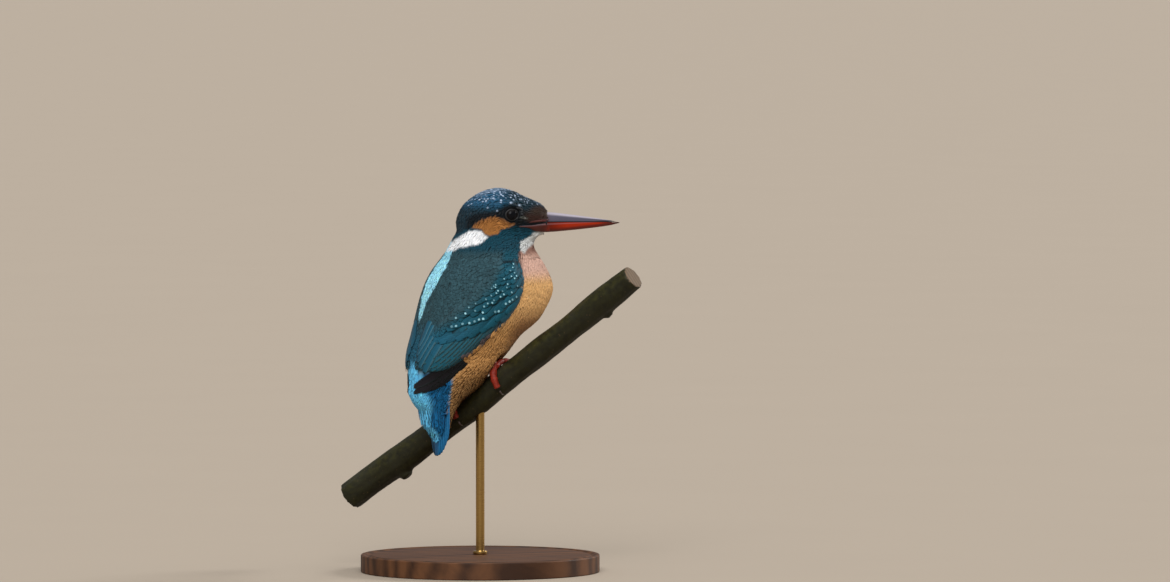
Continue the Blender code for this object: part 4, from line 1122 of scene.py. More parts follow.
def covert_feathers(side, random):
    """The rows of coverts over one folded wing, each tip over the next row's roots."""
    master = master_vanes()["vane"]
    levels, shortest = master.levels, 2.4
    lines, facings, widths, heights, tints, spotted = [], [], [], [], [], []
    for row in COVERT_ROWS:
        tips = even_points(row.tips, row.number) + random.normal(0, 0.45, (row.number, 2))
        for place, tip in enumerate(tips):
            # they point backwards and down, more down towards the wing's front edge
            share = place / (row.number - 1)
            way = np.array((-0.80 + 0.12 * share, -0.60 - 0.12 * share))
            way /= np.hypot(*way)
            reach = row.length * random.uniform(0.94, 1.06)
            # near the wing's front edge the feathers are shorter, so that none starts before it
            while reach > shortest:
                root = tip - way * reach
                if root[0] < wing_front(root[1]) - 0.2:
                    break
                reach *= 0.93
            places, normals = side_line(root, tip, 0.3, levels, side)
            lines.append(places)
            facings.append(normals)
            slim = 0.62 + 0.38 * reach / row.length
            widths.append(row.half_width * MM * slim * random.uniform(0.88, 1.12))
            heights.append(row.layer * COVERT_LAYER * MM + (0.25 + 0.42 * levels) * MM)
            tint = (painted(places) * random.normal(1.0, 0.06))[master.row]
            tints.append(tint * (0.78 + 0.22 * smooth(master.along, 0.2, 0.7))[:, None])
            spotted.append(random.uniform(0.25, 1.0) if random.random() < row.spotted else 0.0)
    return on_wing(master, lines, facings, widths, heights, tints, spotted, side * 0.06 * MM)


# --- finishes -----------------------------------------------------------------------------------


def lit(tint, share):
    """The colour made darker or lighter."""
    return tuple(min(1.0, part * share) for part in tint)


class Finish:
    """A node material, wired step by step."""

    def __init__(self, name):
        self.material = bpy.data.materials.new(name)
        self.material.use_nodes = True
        self.tree = self.material.node_tree
        self.shader = self.tree.nodes["Principled BSDF"]

    def put(self, value, socket):
        """Links what another node gives, or sets a constant on the socket itself."""
        if isinstance(value, bpy.types.NodeSocket):
            self.tree.links.new(value, socket)
        else:
            socket.default_value = value

    def node(self, kind, inputs=(), **values):
        made = self.tree.nodes.new(kind)
        for name, value in values.items():
            setattr(made, name, value)
        for name, value in dict(inputs).items():
            self.put(value, made.inputs[name])
        return made

    def mapped(self, vector, scale=(1.0, 1.0, 1.0), **inputs):
        """Places scaled, and turned or moved where Rotation or Location says so."""
        inputs = {"Vector": vector, "Scale": scale, **inputs}
        return self.node("ShaderNodeMapping", inputs).outputs["Vector"]

    def object_places(self, scale=(1.0, 1.0, 1.0), **inputs):
        source = self.node("ShaderNodeTexCoord").outputs["Object"]
        return self.mapped(source, scale, **inputs)

    def split(self, vector, axis):
        return self.node("ShaderNodeSeparateXYZ", {"Vector": vector}).outputs[axis]

    def noise(self, vector, scale=1.0, detail=2.0, **inputs):
        """Smooth random strength from place to place."""
        inputs = {"Vector": vector, "Scale": scale, "Detail": detail, **inputs}
        return self.node("ShaderNodeTexNoise", inputs).outputs["Fac"]

    def cells(self, vector, scale=1.0):
        """How far each place lies from the middle of its cell."""
        inputs = {"Vector": vector, "Scale": scale}
        return self.node("ShaderNodeTexVoronoi", inputs).outputs["Distance"]

    def waves(self, vector, scale, distortion, detail, **values):
        inputs = {"Vector": vector, "Scale": scale, "Distortion": distortion, "Detail": detail}
        return self.node("ShaderNodeTexWave", inputs, **values).outputs["Fac"]

    def maths(self, operation, first, second=0.0):
        node = self.node("ShaderNodeMath", {0: first, 1: second}, operation=operation)
        return node.outputs["Value"]

    def scaled(self, value, times, plus):
        return self.maths("ADD", self.maths("MULTIPLY", value, times), plus)

    def grey(self, value):
        inputs = dict.fromkeys(("Red", "Green", "Blue"), value)
        return self.node("ShaderNodeCombineColor", inputs).outputs["Color"]

    def blend(self, share, first, second, mode="MIX"):
        """From the first colour to the second as share goes from 0 to 1."""
        node = self.node("ShaderNodeMix", {0: share}, data_type="RGBA", blend_type=mode)
        for place, tint in ((6, first), (7, second)):
            linked = isinstance(tint, bpy.types.NodeSocket)
            self.put(tint if linked else (*tint, 1.0), node.inputs[place])
        return node.outputs[2]

    def ramp(self, value, *stops):
        """Colours, or strengths from 0 to 1, that change along the value."""
        node = self.node("ShaderNodeValToRGB", {"Fac": value})
        elements = node.color_ramp.elements
        while len(elements) < len(stops):
            elements.new(0.5)
        for element, (place, tint) in zip(elements, stops):
            element.position = place
            element.color = (*((tint,) * 3 if isinstance(tint, float) else tint), 1.0)
        return node.outputs["Color"]

    def set(self, **sockets):
        for name, value in sockets.items():
            self.put(value, self.shader.inputs[name.replace("_", " ")])
        return self

    def bump(self, height, strength, distance):
        inputs = {"Height": height, "Strength": strength, "Distance": distance}
        return self.set(Normal=self.node("ShaderNodeBump", inputs).outputs["Normal"])


def feather_finish(name, shaft, roughness, sheen, barbs, spot=None):
    """Feathers: markings from the mesh; barbs, shaft and spot from each vane's own map.

    spot is its colour, its place along the vane, and its half length and half width.
    """
    finish = Finish(name)
    marks = finish.node("ShaderNodeAttribute", attribute_name="markings")
    flat = finish.node("ShaderNodeUVMap", uv_map="vane").outputs["UV"]
    along = finish.split(flat, "Y")
    across = finish.maths("ABSOLUTE", finish.maths("SUBTRACT", finish.split(flat, "X"), 0.5))
    # barbs run outwards and towards the tip
    slant = finish.maths("MULTIPLY", across, barbs * 0.7)
    phase = finish.maths("SUBTRACT", finish.maths("MULTIPLY", along, barbs), slant)
    barb = finish.maths("MULTIPLY", finish.maths("ADD", finish.maths("SINE", phase), 1.0), 0.5)
    grain = finish.maths("MULTIPLY", finish.noise(finish.object_places(), 900.0, 3.0), 0.4)
    light = finish.maths("ADD", finish.maths("MULTIPLY", barb, 0.20), grain)
    light = finish.grey(finish.maths("ADD", light, 0.70))
    tint = finish.blend(1.0, marks.outputs["Color"], light, "MULTIPLY")
    rachis = finish.ramp(across, (0.0, 1.0), (0.035, 0.0))
    tint = finish.blend(finish.maths("MULTIPLY", rachis, shaft), tint, (0.012, 0.012, 0.014))
    if spot:
        spot_tint, middle_at, half_length, half_width = spot
        out = finish.maths("DIVIDE", across, half_width / 2)
        away = finish.maths("DIVIDE", finish.maths("SUBTRACT", along, middle_at), half_length)
        out, away = (finish.maths("MULTIPLY", value, value) for value in (out, away))
        oval = finish.ramp(finish.maths("ADD", out, away), (0.45, 1.0), (1.0, 0.0))
        tint = finish.blend(finish.maths("MULTIPLY", oval, marks.outputs["Alpha"]), tint, spot_tint)
    finish.set(Base_Color=tint, Roughness=roughness, Specular_IOR_Level=0.12)
    finish.set(Sheen_Weight=sheen, Sheen_Roughness=0.45)
    height = finish.maths("ADD", barb, finish.maths("MULTIPLY", rachis, 1.5))
    return finish.bump(height, 0.35, 0.1 * MM).material


def skin_finish():
    """Down close to the skin, which shows only between the feathers, in the coat's colours."""
    finish = Finish("kingfisher skin")
    marks = finish.node("ShaderNodeAttribute", attribute_name="markings").outputs["Color"]
    grain = finish.noise(finish.object_places(), 700.0, 4.0)
    light = finish.grey(finish.scaled(grain, 0.5, 0.65))
    finish.set(Base_Color=finish.blend(1.0, marks, light, "MULTIPLY"), Roughness=0.85)
    return finish.bump(grain, 0.4, 0.3 * MM).material


def ball_finish(iris):
    """A near-black pupil in a dark iris, both under a glossy cornea."""
    finish = Finish("eye")
    flat = finish.node("ShaderNodeUVMap", uv_map="UVMap").outputs["UV"]
    fibres = finish.noise(finish.mapped(flat, (60, 4, 1)), 3.0)
    outside = finish.ramp(finish.split(flat, "Y"), (0.0, 1.0), (0.80, 1.0), (0.81, 0.0))
    ring = finish.blend(fibres, iris, lit(iris, 2.2))
    tint = finish.blend(outside, (0.004, 0.004, 0.005), ring)
    return finish.set(Base_Color=tint, Roughness=0.10, Specular_IOR_Level=0.08).material


def lid_finish(lid):
    finish = Finish("eyelid")
    cells = finish.cells(finish.object_places(), 3200.0)
    tint = finish.blend(cells, lit(lid, 1.5), lit(lid, 0.4))
    return finish.set(Base_Color=tint, Roughness=0.55).bump(cells, 0.6, 0.08 * MM).material


def ring_finish(dark):
    """Short dark tufts round the lid."""
    finish = Finish("eye ring")
    tufts = finish.noise(finish.object_places(), 1600.0, 3.0)
    tint = finish.blend(tufts, lit(dark, 0.5), lit(dark, 1.5))
    finish.set(Base_Color=tint, Roughness=0.8, Specular_IOR_Level=0.1)
    return finish.bump(tufts, 0.8, 0.2 * MM).material


def bill_finish(name, stops, depth, bands, roughness):
    """Horn: colours from face to tip, bands over the mandible's depth, and fine streaks along it.

    stops are (millimetres forward of the head's middle, colour); depth is the mandible's depth at
    the face, measured up from the line between the mandibles; bands are (colour, shares of the
    depth with strengths).
    """
    finish = Finish(name)
    places = finish.node("ShaderNodeTexCoord").outputs["Object"]
    inputs = {0: places, 1: tuple(FORWARD)}
    dot = finish.node("ShaderNodeVectorMath", inputs, operation="DOT_PRODUCT").outputs["Value"]
    start, reach = stops[0][0], stops[-1][0] - stops[0][0]
    away = finish.maths("SUBTRACT", dot, HEAD_MIDDLE.dot(FORWARD) + start * MM)
    turned = finish.mapped(places, Rotation=(0, 0, -math.atan2(FORWARD.y, FORWARD.x)))
    streak = finish.noise(finish.mapped(turned, (60.0, 900.0, 900.0)), 1.0, 4.0)
    wander = finish.maths("MULTIPLY", finish.maths("SUBTRACT", streak, 0.5), 0.06)
    along = finish.maths("ADD", finish.maths("DIVIDE", away, reach * MM), wander)
    tint = finish.ramp(along, *(((place - start) / reach, shown) for place, shown in stops))
    # how far over the mandible's depth, which runs out to nothing at the tip
    over = finish.maths("SUBTRACT", finish.split(places, "Z"), HEAD_MIDDLE.z + BILL_LINE * MM)
    left = finish.maths("SUBTRACT", BILL_TIP * MM, finish.maths("ADD", away, start * MM))
    taper = finish.maths("MULTIPLY", left, depth / (BILL_TIP - BILL_FACE))
    share = finish.maths("DIVIDE", over, taper)
    for shown, *strengths in bands:
        tint = finish.blend(finish.ramp(share, *strengths), tint, shown)
    worn = finish.maths("MULTIPLY", streak, 0.5)
    tint = finish.blend(worn, tint, (0.62, 0.62, 0.62), "MULTIPLY")
    finish.set(Base_Color=tint, Roughness=finish.scaled(streak, 0.2, roughness))
    return finish.set(Specular_IOR_Level=0.22).bump(streak, 0.3, 0.1 * MM).material


def foot_finish(foot):
    """Coral skin in small scales."""
    finish = Finish("foot skin")
    scales = finish.cells(finish.object_places(), 1500.0)
    patches = finish.noise(finish.object_places(), 260.0)
    tint = finish.blend(patches, lit(foot, 0.75), lit(foot, 1.25))
    tint = finish.blend(finish.ramp(scales, (0.35, 0.0), (0.75, 0.55)), tint, lit(foot, 0.3))
    finish.set(Base_Color=tint, Roughness=0.55, Specular_IOR_Level=0.25)
    return finish.bump(scales, -0.6, 0.12 * MM).material


def claw_finish(claw):
    finish = Finish("claw horn")
    streak = finish.noise(finish.object_places(), 900.0)
    tint = finish.blend(streak, claw, lit(claw, 2.4))
    return finish.set(Base_Color=tint, Roughness=0.32, Coat_Weight=0.3).material


def bark_finish(group, turn):
    """Ridged olive bark: dark cracks, grey patches, pale pores; painted shade below and highlight on
    top.
    """
    finish = Finish("bark")
    along = finish.object_places(Rotation=turn)
    grain = finish.noise(finish.mapped(along, (90.0, 420.0, 420.0)), 1.0, 6.0, Roughness=0.62)
    patches = finish.noise(finish.object_places(), 55.0, 3.0)
    pores = finish.cells(finish.mapped(along, (260.0, 420.0, 420.0)))
    facing_up = finish.split(finish.node("ShaderNodeNewGeometry").outputs["Normal"], "Z")
    tint = group.bark_dark_and_shade
    for value, low, high, shown in (
        (grain, (0.32, 0.0), (0.66, 1.0), group.bark),
        (patches, (0.5, 0.0), (0.72, 0.7), group.bark_grey_and_highlight),
        # painted shade on the underside, and a painted highlight on the top
        (facing_up, (0.0, 0.6), (0.35, 0.0), group.bark_dark_and_shade),
        (facing_up, (0.62, 0.0), (0.98, 0.45), group.bark_grey_and_highlight),
        (pores, (0.07, 0.35), (0.13, 0.0), group.wood),
    ):
        tint = finish.blend(finish.ramp(value, low, high), tint, shown)
    finish.set(Base_Color=tint, Roughness=finish.scaled(grain, 0.3, 0.4), Specular_IOR_Level=0.2)
    return finish.bump(grain, 0.7, 0.5 * MM).material


def cut_finish(wood, turn, heart):
    """Sawn wood with its rings round the branch's heart."""
    finish = Finish("sawn wood")
    own = finish.object_places(Rotation=turn)
    heart_wood = finish.mapped(own, Location=tuple(-heart))
    rings = finish.waves(heart_wood, 260.0, 2.5, 2.0, wave_type="RINGS", rings_direction="X")
    tint = finish.blend(rings, wood, lit(wood, 0.6))
    return finish.set(Base_Color=tint, Roughness=0.75).bump(rings, 0.3, 0.2 * MM).material


def walnut_finish(group):
    finish = Finish("walnut")
    turn = (0, 0, math.radians(20))
    pores = finish.object_places((14.0, 150.0, 60.0), Rotation=turn)
    grain = finish.noise(pores, 1.0, 7.0, Roughness=0.6, Distortion=0.6)
    boards = finish.object_places((10.0, 42.0, 20.0), Rotation=turn)
    figure = finish.waves(boards, 1.0, 6.0, 3.0, wave_type="BANDS", bands_direction="Y")
    figure = finish.maths("MULTIPLY", figure, 0.3)
    share = finish.maths("ADD", finish.maths("MULTIPLY", grain, 0.7), figure)
    tint = finish.ramp(share, (0.30, group.base_dark), (0.68, group.base))
    finish.set(Base_Color=tint, Roughness=finish.scaled(grain, 0.2, 0.5), Specular_IOR_Level=0.2)
    return finish.bump(grain, 0.12, 0.2 * MM).material


def brass_finish(brass):
    """Brass with fine turning marks round it."""
    finish = Finish("brass")
    turned = finish.noise(finish.object_places((300.0, 300.0, 2600.0)), 1.0, 3.0)
    tint = finish.blend(turned, lit(brass, 0.85), lit(brass, 1.1))
    finish.set(Base_Color=tint, Roughness=finish.scaled(turned, 0.15, 0.22), Metallic=1.0)
    return finish.bump(turned, 0.08, 0.1 * MM).material


def floor_finish(floor):
    finish = Finish("pale floor")
    cloud = finish.noise(finish.object_places(), 9.0, 2.0)
    tint = finish.blend(cloud, floor, lit(floor, 0.97))
    return finish.set(Base_Color=tint, Roughness=0.9).material


# --- the bird -----------------------------------------------------------------------------------


class KINGFISHER_OT_skin(bpy.types.Operator):
    """One skin under the whole coat, inside head, neck, trunk and wings by the coat's depth"""

    bl_idname = "kingfisher.skin"
    bl_label = "Skin"

    def execute(self, context):
        swell = 0.35 * MM  # lets neighbouring solids run into each other
        skin = copied_nodes("skin", *FLESH)
        modified(skin, "DISPLACE", strength=swell, mid_level=0.0)
        modified(skin, "REMESH", mode="VOXEL", voxel_size=0.9 * MM)
        modified(skin, "SMOOTH", factor=0.5, iterations=5)
        modified(skin, "DISPLACE", strength=-(swell + plumage().coat), mid_level=0.0)
        modified(skin, "SMOOTH", factor=0.5, iterations=2)
        # only the outer shell stays: what the remesh closed inside is dropped
        mesh = editing(skin)
        max(mesh.verts, key=lambda vertex: vertex.co.z).select_set(True)
        bpy.ops.mesh.select_linked()
        bpy.ops.mesh.select_all(action="INVERT")
        bpy.ops.mesh.delete(type="VERT")
        bpy.ops.mesh.select_all(action="SELECT")
        bpy.ops.mesh.normals_make_consistent(inside=False)
        done(skin)
        skin.data.uv_layers.new(name="OFBake")
        editing(skin)
        bpy.ops.mesh.select_all(action="SELECT")
        bpy.ops.uv.smart_project(angle_limit=math.radians(72), island_margin=0.004)
        done(skin)
        settled(skin, "skin")
        tints = painted(vertex_places(skin.data)) * 0.9
        marked(skin.data, tints, np.ones(len(tints)))
        dressed(skin, skin_finish(), "plumage", *FLESH)
        surface.clear()
        return {"FINISHED"}


# Each coat piece: its tracts and the slot of its finish
COATS = (
    ("coat_crown", ("crown", "forehead"), "crown"),
    ("coat_face", ("lid edge", "face", "ear", "cheek"), "crown"),
    ("coat_throat", ("throat",), "plumage"),
    ("coat_neck", ("neck",), "nape"),
    ("coat_breast", ("breast",), "plumage"),
    ("coat_belly", ("belly", "thigh"), "plumage"),
    ("coat_back", ("mantle", "scapular", "stripe"), "plumage"),
    ("coat_shoulder", ("shoulder",), "wing"),
    ("coat_rump", ("rump",), "plumage"),
)


class KINGFISHER_OT_coat(bpy.types.Operator):
    """Small feathers over head, neck and body, tract by tract, along the lie of the coat"""

    bl_idname = "kingfisher.coat"
    bl_label = "Small feathers"

    def execute(self, context):
        roots, facings, kinds = scattered(ROOT_SEED)
        spot = (tuple(plumage().crown_bar_and_top_highlight), 0.77, 0.23, 1.0)
        soft = feather_finish("soft plumage", 0.10, 0.75, 0.03, 26.0)
        barred = feather_finish("crown plumage", 0.10, 0.65, 0.03, 26.0, spot)
        for place, (name, tracts, slot) in enumerate(COATS):
            mine = np.isin(kinds, [TRACT[tract] for tract in tracts])
            groups = contour_feathers(roots[mine], facings[mine], kinds[mine], COAT_SEED + place)
            dressed(joined_vanes(name, groups), barred if "crown" in tracts else soft, slot)
        return {"FINISHED"}


class KINGFISHER_OT_wings(bpy.types.Operator):
    """Coverts, tertials, secondaries and primaries of both folded wings"""

    bl_idname = "kingfisher.wings"
    bl_label = "Wing feathers"

    def execute(self, context):
        spot = (tuple(plumage().spot), 0.90, 0.075, 0.46)
        glossy = feather_finish("wing feathers", 0.35, 0.55, 0.03, 90.0)
        scaly = feather_finish("wing coverts", 0.15, 0.62, 0.03, 40.0, spot)
        for side, name in SIDES:
            random = np.random.default_rng(WING_SEED + side)
            quills = joined_vanes(f"quills_{name}", [quill_feathers(side, random)])
            dressed(quills, glossy, "wing_tip")
            coverts = joined_vanes(f"coverts_{name}", [covert_feathers(side, random)])
            dressed(coverts, scaly, "wing")
        return {"FINISHED"}


class KINGFISHER_OT_tail(bpy.types.Operator):
    """Twelve tail feathers, closed, the middle pair on top"""

    bl_idname = "kingfisher.tail"
    bl_label = "Tail feathers"

    def execute(self, context):
        low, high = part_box("tail")
        group = plumage()
        master = master_vanes()["rectrix"]
        levels = master.levels
        random = np.random.default_rng(TAIL_SEED)
        lines, tints = [], []
        middle_x, half_width, inmost = (low.x + high.x) / 2, 3.6 * MM, 0.5 * MM
        spread = (high.y - low.y) / 2 - half_width - inmost
        underside = (master.places[:, 2] < -0.001)[:, None]
        for pair, shorter in enumerate(TAIL_STEPS):
            outermost = pair / (len(TAIL_STEPS) - 1)
            for side, _ in SIDES:
                # each pair lies under the one before it, and its left feather under its right one
                depth = 0.95 * MM - 0.32 * MM * pair - (0.12 * MM if side > 0 else 0)
                fan = 0.45 + 0.55 * smooth(levels, 0.05, 0.55)
                out = side * (inmost + spread * outermost * fan)
                out *= 1 - 0.10 * smooth(levels, 0.7, 1.0) * outermost
                height = high.z + (low.z + shorter * MM - high.z) * levels
                lines.append(np.stack((np.full(len(levels), middle_x - depth), out, height), axis=1))
                edge = smooth(side * master.across, 0.3, 1.0)[:, None] * 0.75
                tint = tone(group, "tail") * (1 - edge) + tone(group, "tail_edge") * edge
                tint = np.where(underside, tone(group, "under"), tint)
                tints.append(tint * random.normal(1.0, 0.05))
        lines = np.array(lines)
        backwards = np.broadcast_to((-1.0, 0.0, 0.0), lines.shape)
        flat = np.zeros(lines.shape[:2])
        spots = laid_out(master, lines, backwards, np.full(len(lines), half_width), flat, False)
        groups = [(master, spots, np.array(tints), 0.0, unwrap_places(lines[:, 0]))]
        finish = feather_finish("tail feathers", 0.4, 0.5, 0.04, 110.0)
        dressed(joined_vanes("tail_feathers", groups), finish, "tail", "tail")
        return {"FINISHED"}


def eyeball(name, centre, turn):
    uv_sphere = bpy.ops.mesh.primitive_uv_sphere_add
    ball = primitive(
        uv_sphere, segments=48, ring_count=28, radius=EYE_RADIUS,
        location=centre, rotation=turn, scale=(1, 1, 0.88),
    )
    editing(ball)
    # the cornea bulges a little, because the rest of the ball shrinks behind it
    choose(ball, "VERT", lambda co: co.z < EYE_RADIUS * 0.62)
    bpy.ops.transform.resize(value=(0.985, 0.985, 0.985), center_override=tuple(centre))
    return settled(done(ball), name)


def eyelid(name, centre, look, turn):
    torus = bpy.ops.mesh.primitive_torus_add
    lid = primitive(
        torus, major_radius=2.72 * MM, minor_radius=parts().lid_width, major_segments=56,
        minor_segments=12, location=centre + look * (1.42 * MM), rotation=turn,
    )
    settled(lid, name)
    editing(lid)
    # the rim is a little longer than high, and drawn out into a corner before and behind
    for way, stretch in ((1, 0.42), (-1, 0.30)):
        for reach in (1.6, 2.2, 2.6):
            drawn = FORWARD * (way * stretch * MM / 3)
            shift(lid, lambda co: (co - centre).dot(FORWARD) * way > reach * MM, *drawn)
    bpy.ops.mesh.select_all(action="SELECT")
    bpy.ops.transform.resize(value=(1, 1, 0.95), center_override=tuple(centre))
    return done(lid)


def eye_ring(name, centre, look, turn):
    torus = bpy.ops.mesh.primitive_torus_add
    ring = primitive(
        torus, major_radius=3.5 * MM, minor_radius=0.62 * MM, major_segments=56,
        minor_segments=14, location=centre + look * (0.72 * MM), rotation=turn,
    )
    return settled(ring, name)


class KINGFISHER_OT_eyes(bpy.types.Operator):
    """Both eyes, glossy and dark, each in a bare rim of lid and a ring of short tufts"""

    bl_idname = "kingfisher.eyes"
    bl_label = "Eyes"

    def execute(self, context):
        ball, lid = ball_finish(tuple(parts().iris)), lid_finish(tuple(parts().lid))
        ring = ring_finish(tuple(plumage().eye_line))
        for side, name in SIDES:
            centre = EYES[side]
            # both look aside, and a little forward and up
            look = (-side * ASIDE + FORWARD * 0.16 + UP * 0.02).normalized()
            turn = look.to_track_quat("Z", "Y").to_euler()
            dressed(eyeball(f"eyeball_{name}", centre, turn), ball, "eye", f"eye_{name}")
            dressed(eyelid(f"lids_{name}", centre, look, turn), lid, "eye")
            dressed(eye_ring(f"eye_ring_{name}", centre, look, turn), ring, "crown")
        return {"FINISHED"}


def gape_rim(name, rim, side, stand):
    """A bare horny rim laid along the side of the face, closed, thin at its edges."""
    tree = skin_surface()["tree"]
    forwards, lows, highs = zip(*rim)
    outwards = -ASIDE * side
    grid = bpy.ops.mesh.primitive_grid_add
    strip = primitive(grid, x_subdivisions=16, y_subdivisions=4, size=2)
    for vertex in strip.data.vertices:
        share, height = (vertex.co.x + 1) / 2, (vertex.co.y + 1) / 2
        forward = forwards[0] + (forwards[-1] - forwards[0]) * share
        low, high = np.interp(forward, forwards, lows), np.interp(forward, forwards, highs)
        up = float(low + (high - low) * height)
        spot = head_spot(forward, 0.0, up)
        hit, _, _, _ = tree.ray_cast(spot + outwards * (30 * MM), -outwards)
        base = spot + outwards * (3.2 * MM) if hit is None else hit
        # never inside the bill's own width, which shrinks forward
        least = (4.6 - 0.10 * (forward - 20)) * MM * 0.75
        aside = max((base - spot).dot(outwards), least)
        crown = math.sqrt(max(0.0, 1 - (2 * height - 1) ** 2)) * min(1.0, share * 6)
        out = stand * (0.25 + 0.75 * crown) * min(1.0, (1 - share) * 2.5 - 0.12)
        vertex.co = spot + outwards * (aside + out * MM)
    modified(strip, "SOLIDIFY", thickness=0.5 * MM, offset=0.0)
    modified(strip, "SUBSURF", levels=1, render_levels=1)
    return settled(outward(strip), name)


def mouth_lining():
    """The dark lining between the mandibles, which closes the gap that parts them."""
    back, corner = 15.0, 22.0
    grid = bpy.ops.mesh.primitive_grid_add
    lining = primitive(grid, x_subdivisions=14, y_subdivisions=2, size=2)
    for vertex in lining.data.vertices:
        forward = back + (vertex.co.x + 1) / 2 * (BILL_TIP - 4.0 - back)
        half_width = float(np.interp(forward, (back, corner, BILL_TIP), (3.55, 3.55, 0.0)))
        up = float(np.interp(forward, (back, 30.0, 45.0, BILL_TIP), (-3.33, -3.40, -3.52, -3.9)))
        vertex.co = head_spot(forward, vertex.co.y * half_width, up)
    modified(lining, "SOLIDIFY", thickness=0.5 * MM, offset=0.0)
    return settled(outward(lining), "mouth_lining", 30)


class KINGFISHER_OT_bill(bpy.types.Operator):
    """Both mandibles, with nostrils, gape and a streaked horn finish"""

    bl_idname = "kingfisher.bill"
    bl_label = "Bill"

    def execute(self, context):
        upper = copied_nodes("bill_top", "bill_upper")
        uv_sphere = bpy.ops.mesh.primitive_uv_sphere_add
        # a nostril on each side, cut as a slit that slants a little to the bill's line
        slant = (0, math.radians(6), math.atan2(FORWARD.y, FORWARD.x))
        for side, _ in SIDES:
            place = head_spot(19.6, -side * 2.55, -1.15)
            slit = primitive(
                uv_sphere, segments=16, ring_count=10, radius=1.0 * MM,
                location=place, rotation=slant, scale=(1.5, 0.55, 0.34),
            )
            modified(upper, "BOOLEAN", object=slit, operation="DIFFERENCE", solver="EXACT")
            bpy.data.objects.remove(slit)
        settled(upper, "bill_top", 38)
        lower = settled(copied_nodes("bill_bottom", "bill_lower"), "bill_bottom", 38)
        group = parts()
        base, red, tip = group.bill_base, group.bill_lower, group.bill_tip
        horn, pale, gap = group.bill_upper, group.bill_highlight, group.bill_gap
        # the pale band along the top of the upper bill is a painted highlight
        dark = bill_finish(
            "upper bill", ((18.0, base), (23.5, horn), (44.0, horn), (BILL_TIP, tip)), UPPER_DEPTH,
            ((pale, (0.64, 0.0), (0.86, 0.85)), (gap, (0.0, 0.9), (0.13, 0.0))), 0.30,
        )
        stops = ((6.5, base), (19.0, base), (23.5, lit(red, 0.45)), (31.0, red), (46.0, red))
        # the pale band near the lower bill's top edge is a painted highlight
        coral = bill_finish(
            "lower bill", (*stops, (BILL_TIP, tip)), -4.5,
            ((pale, (0.12, 0.0), (0.2, 0.2), (0.34, 0.0)), (base, (0.62, 0.0), (1.0, 0.75))), 0.34,
        )
        stops = ((14.0, gap), (30.0, lit(gap, 1.3)), (BILL_TIP, gap))
        lining = bill_finish("mouth lining", stops, UPPER_DEPTH, (), 0.6)
        rim = bill_finish(
            "gape rim", ((12.0, base), (16.0, lit(base, 1.15)), (BILL_TIP, horn)), UPPER_DEPTH,
            ((gap, (0.0, 0.6), (0.1, 0.0)),), 0.4,
        )
        dressed(upper, dark, "upper_bill", "bill_upper")
        dressed(lower, coral, "lower_bill", "bill_lower")
        dressed(mouth_lining(), lining, "upper_bill")
        for side, name in SIDES:
            dressed(gape_rim(f"gape_lower_{name}", GAPE_LOWER, side, 0.5), coral, "lower_bill")
            dressed(gape_rim(f"gape_upper_{name}", GAPE_UPPER, side, 0.4), rim, "upper_bill")
        return {"FINISHED"}


class KINGFISHER_OT_feet(bpy.types.Operator):
    """Both feet with scaly coral skin, and their claws"""

    bl_idname = "kingfisher.feet"
    bl_label = "Feet"

    def execute(self, context):
        skin, horn = foot_finish(tuple(parts().foot)), claw_finish(tuple(parts().claw))
        for _, name in SIDES:
            foot = copied_nodes(f"foot_{name}", f"leg_{name}")
            modified(foot, "REMESH", mode="VOXEL", voxel_size=0.26 * MM)
            modified(foot, "SMOOTH", factor=0.5, iterations=3)
            modified(foot, "DISPLACE", strength=0.3 * MM, mid_level=0.0)
            dressed(settled(foot, f"foot_{name}"), skin, "leg", f"leg_{name}")
            nodes = [f"claw_{name}_{toe}" for toe in ("hind", "inner", "middle", "outer")]
            claws = copied_nodes(f"claws_{name}", *nodes)
            modified(claws, "SUBSURF", levels=1, render_levels=1)
            dressed(settled(claws, f"claws_{name}"), horn, "claw", *nodes)
        return {"FINISHED"}


# --- perch and stand ----------------------------------------------------------------------------


def perch_axis():
    """The perch's own direction, from its farthest points, and its middle."""
    places = vertex_places(frame["nodes"]["perch"].data)
    centre = places.mean(axis=0)
    _, _, ways = np.linalg.svd(places - centre)
    axis = Vector(ways[0])
    return (axis if axis.z > 0 else -axis), Vector(centre)


class KINGFISHER_OT_perch(bpy.types.Operator):
    """The cut branch: bark with ridges and pores, and two sawn ends"""

    bl_idname = "kingfisher.perch"
    bl_label = "Perch"

    def execute(self, context):
        axis, centre = perch_axis()
        level = axis.cross(UP).normalized()
        above = level.cross(axis)
        perch = copied_nodes("branch", "perch")
        modified(perch, "REMESH", mode="VOXEL", voxel_size=0.75 * MM)
        modified(perch, "SMOOTH", factor=0.5, iterations=4)
        far = [vertex.co.dot(axis) for vertex in perch.data.vertices]
        low, high = min(far) + 2.5 * MM, max(far) - 2.5 * MM
        # ridges on the bark, none on the sawn ends
        for vertex in perch.data.vertices:
            place, facing = vertex.co, vertex.normal
            if abs(facing.dot(axis)) <= 0.6:
                own = Vector((place.dot(axis) * 120, place.dot(level) * 520, place.dot(above) * 520))
                ridge = noise.fractal(own, 0.8, 2.1, 3)
                vertex.co = place + facing * (ridge * 0.16 * MM - 0.08 * MM)
        turn = tuple(Matrix((axis, level, above)).to_euler())
        heart = Vector((0, centre.dot(level), centre.dot(above)))
        settled(perch, "branch")
        dressed(perch, bark_finish(parts(), turn), "bark", "perch")
        perch.data.materials.append(cut_finish(tuple(parts().wood), turn, heart))
        for face in perch.data.polygons:
            at_end = not low <= face.center.dot(axis) <= high
            if at_end and abs(face.normal.dot(axis)) > 0.75:
                face.material_index = 1
        return {"FINISHED"}


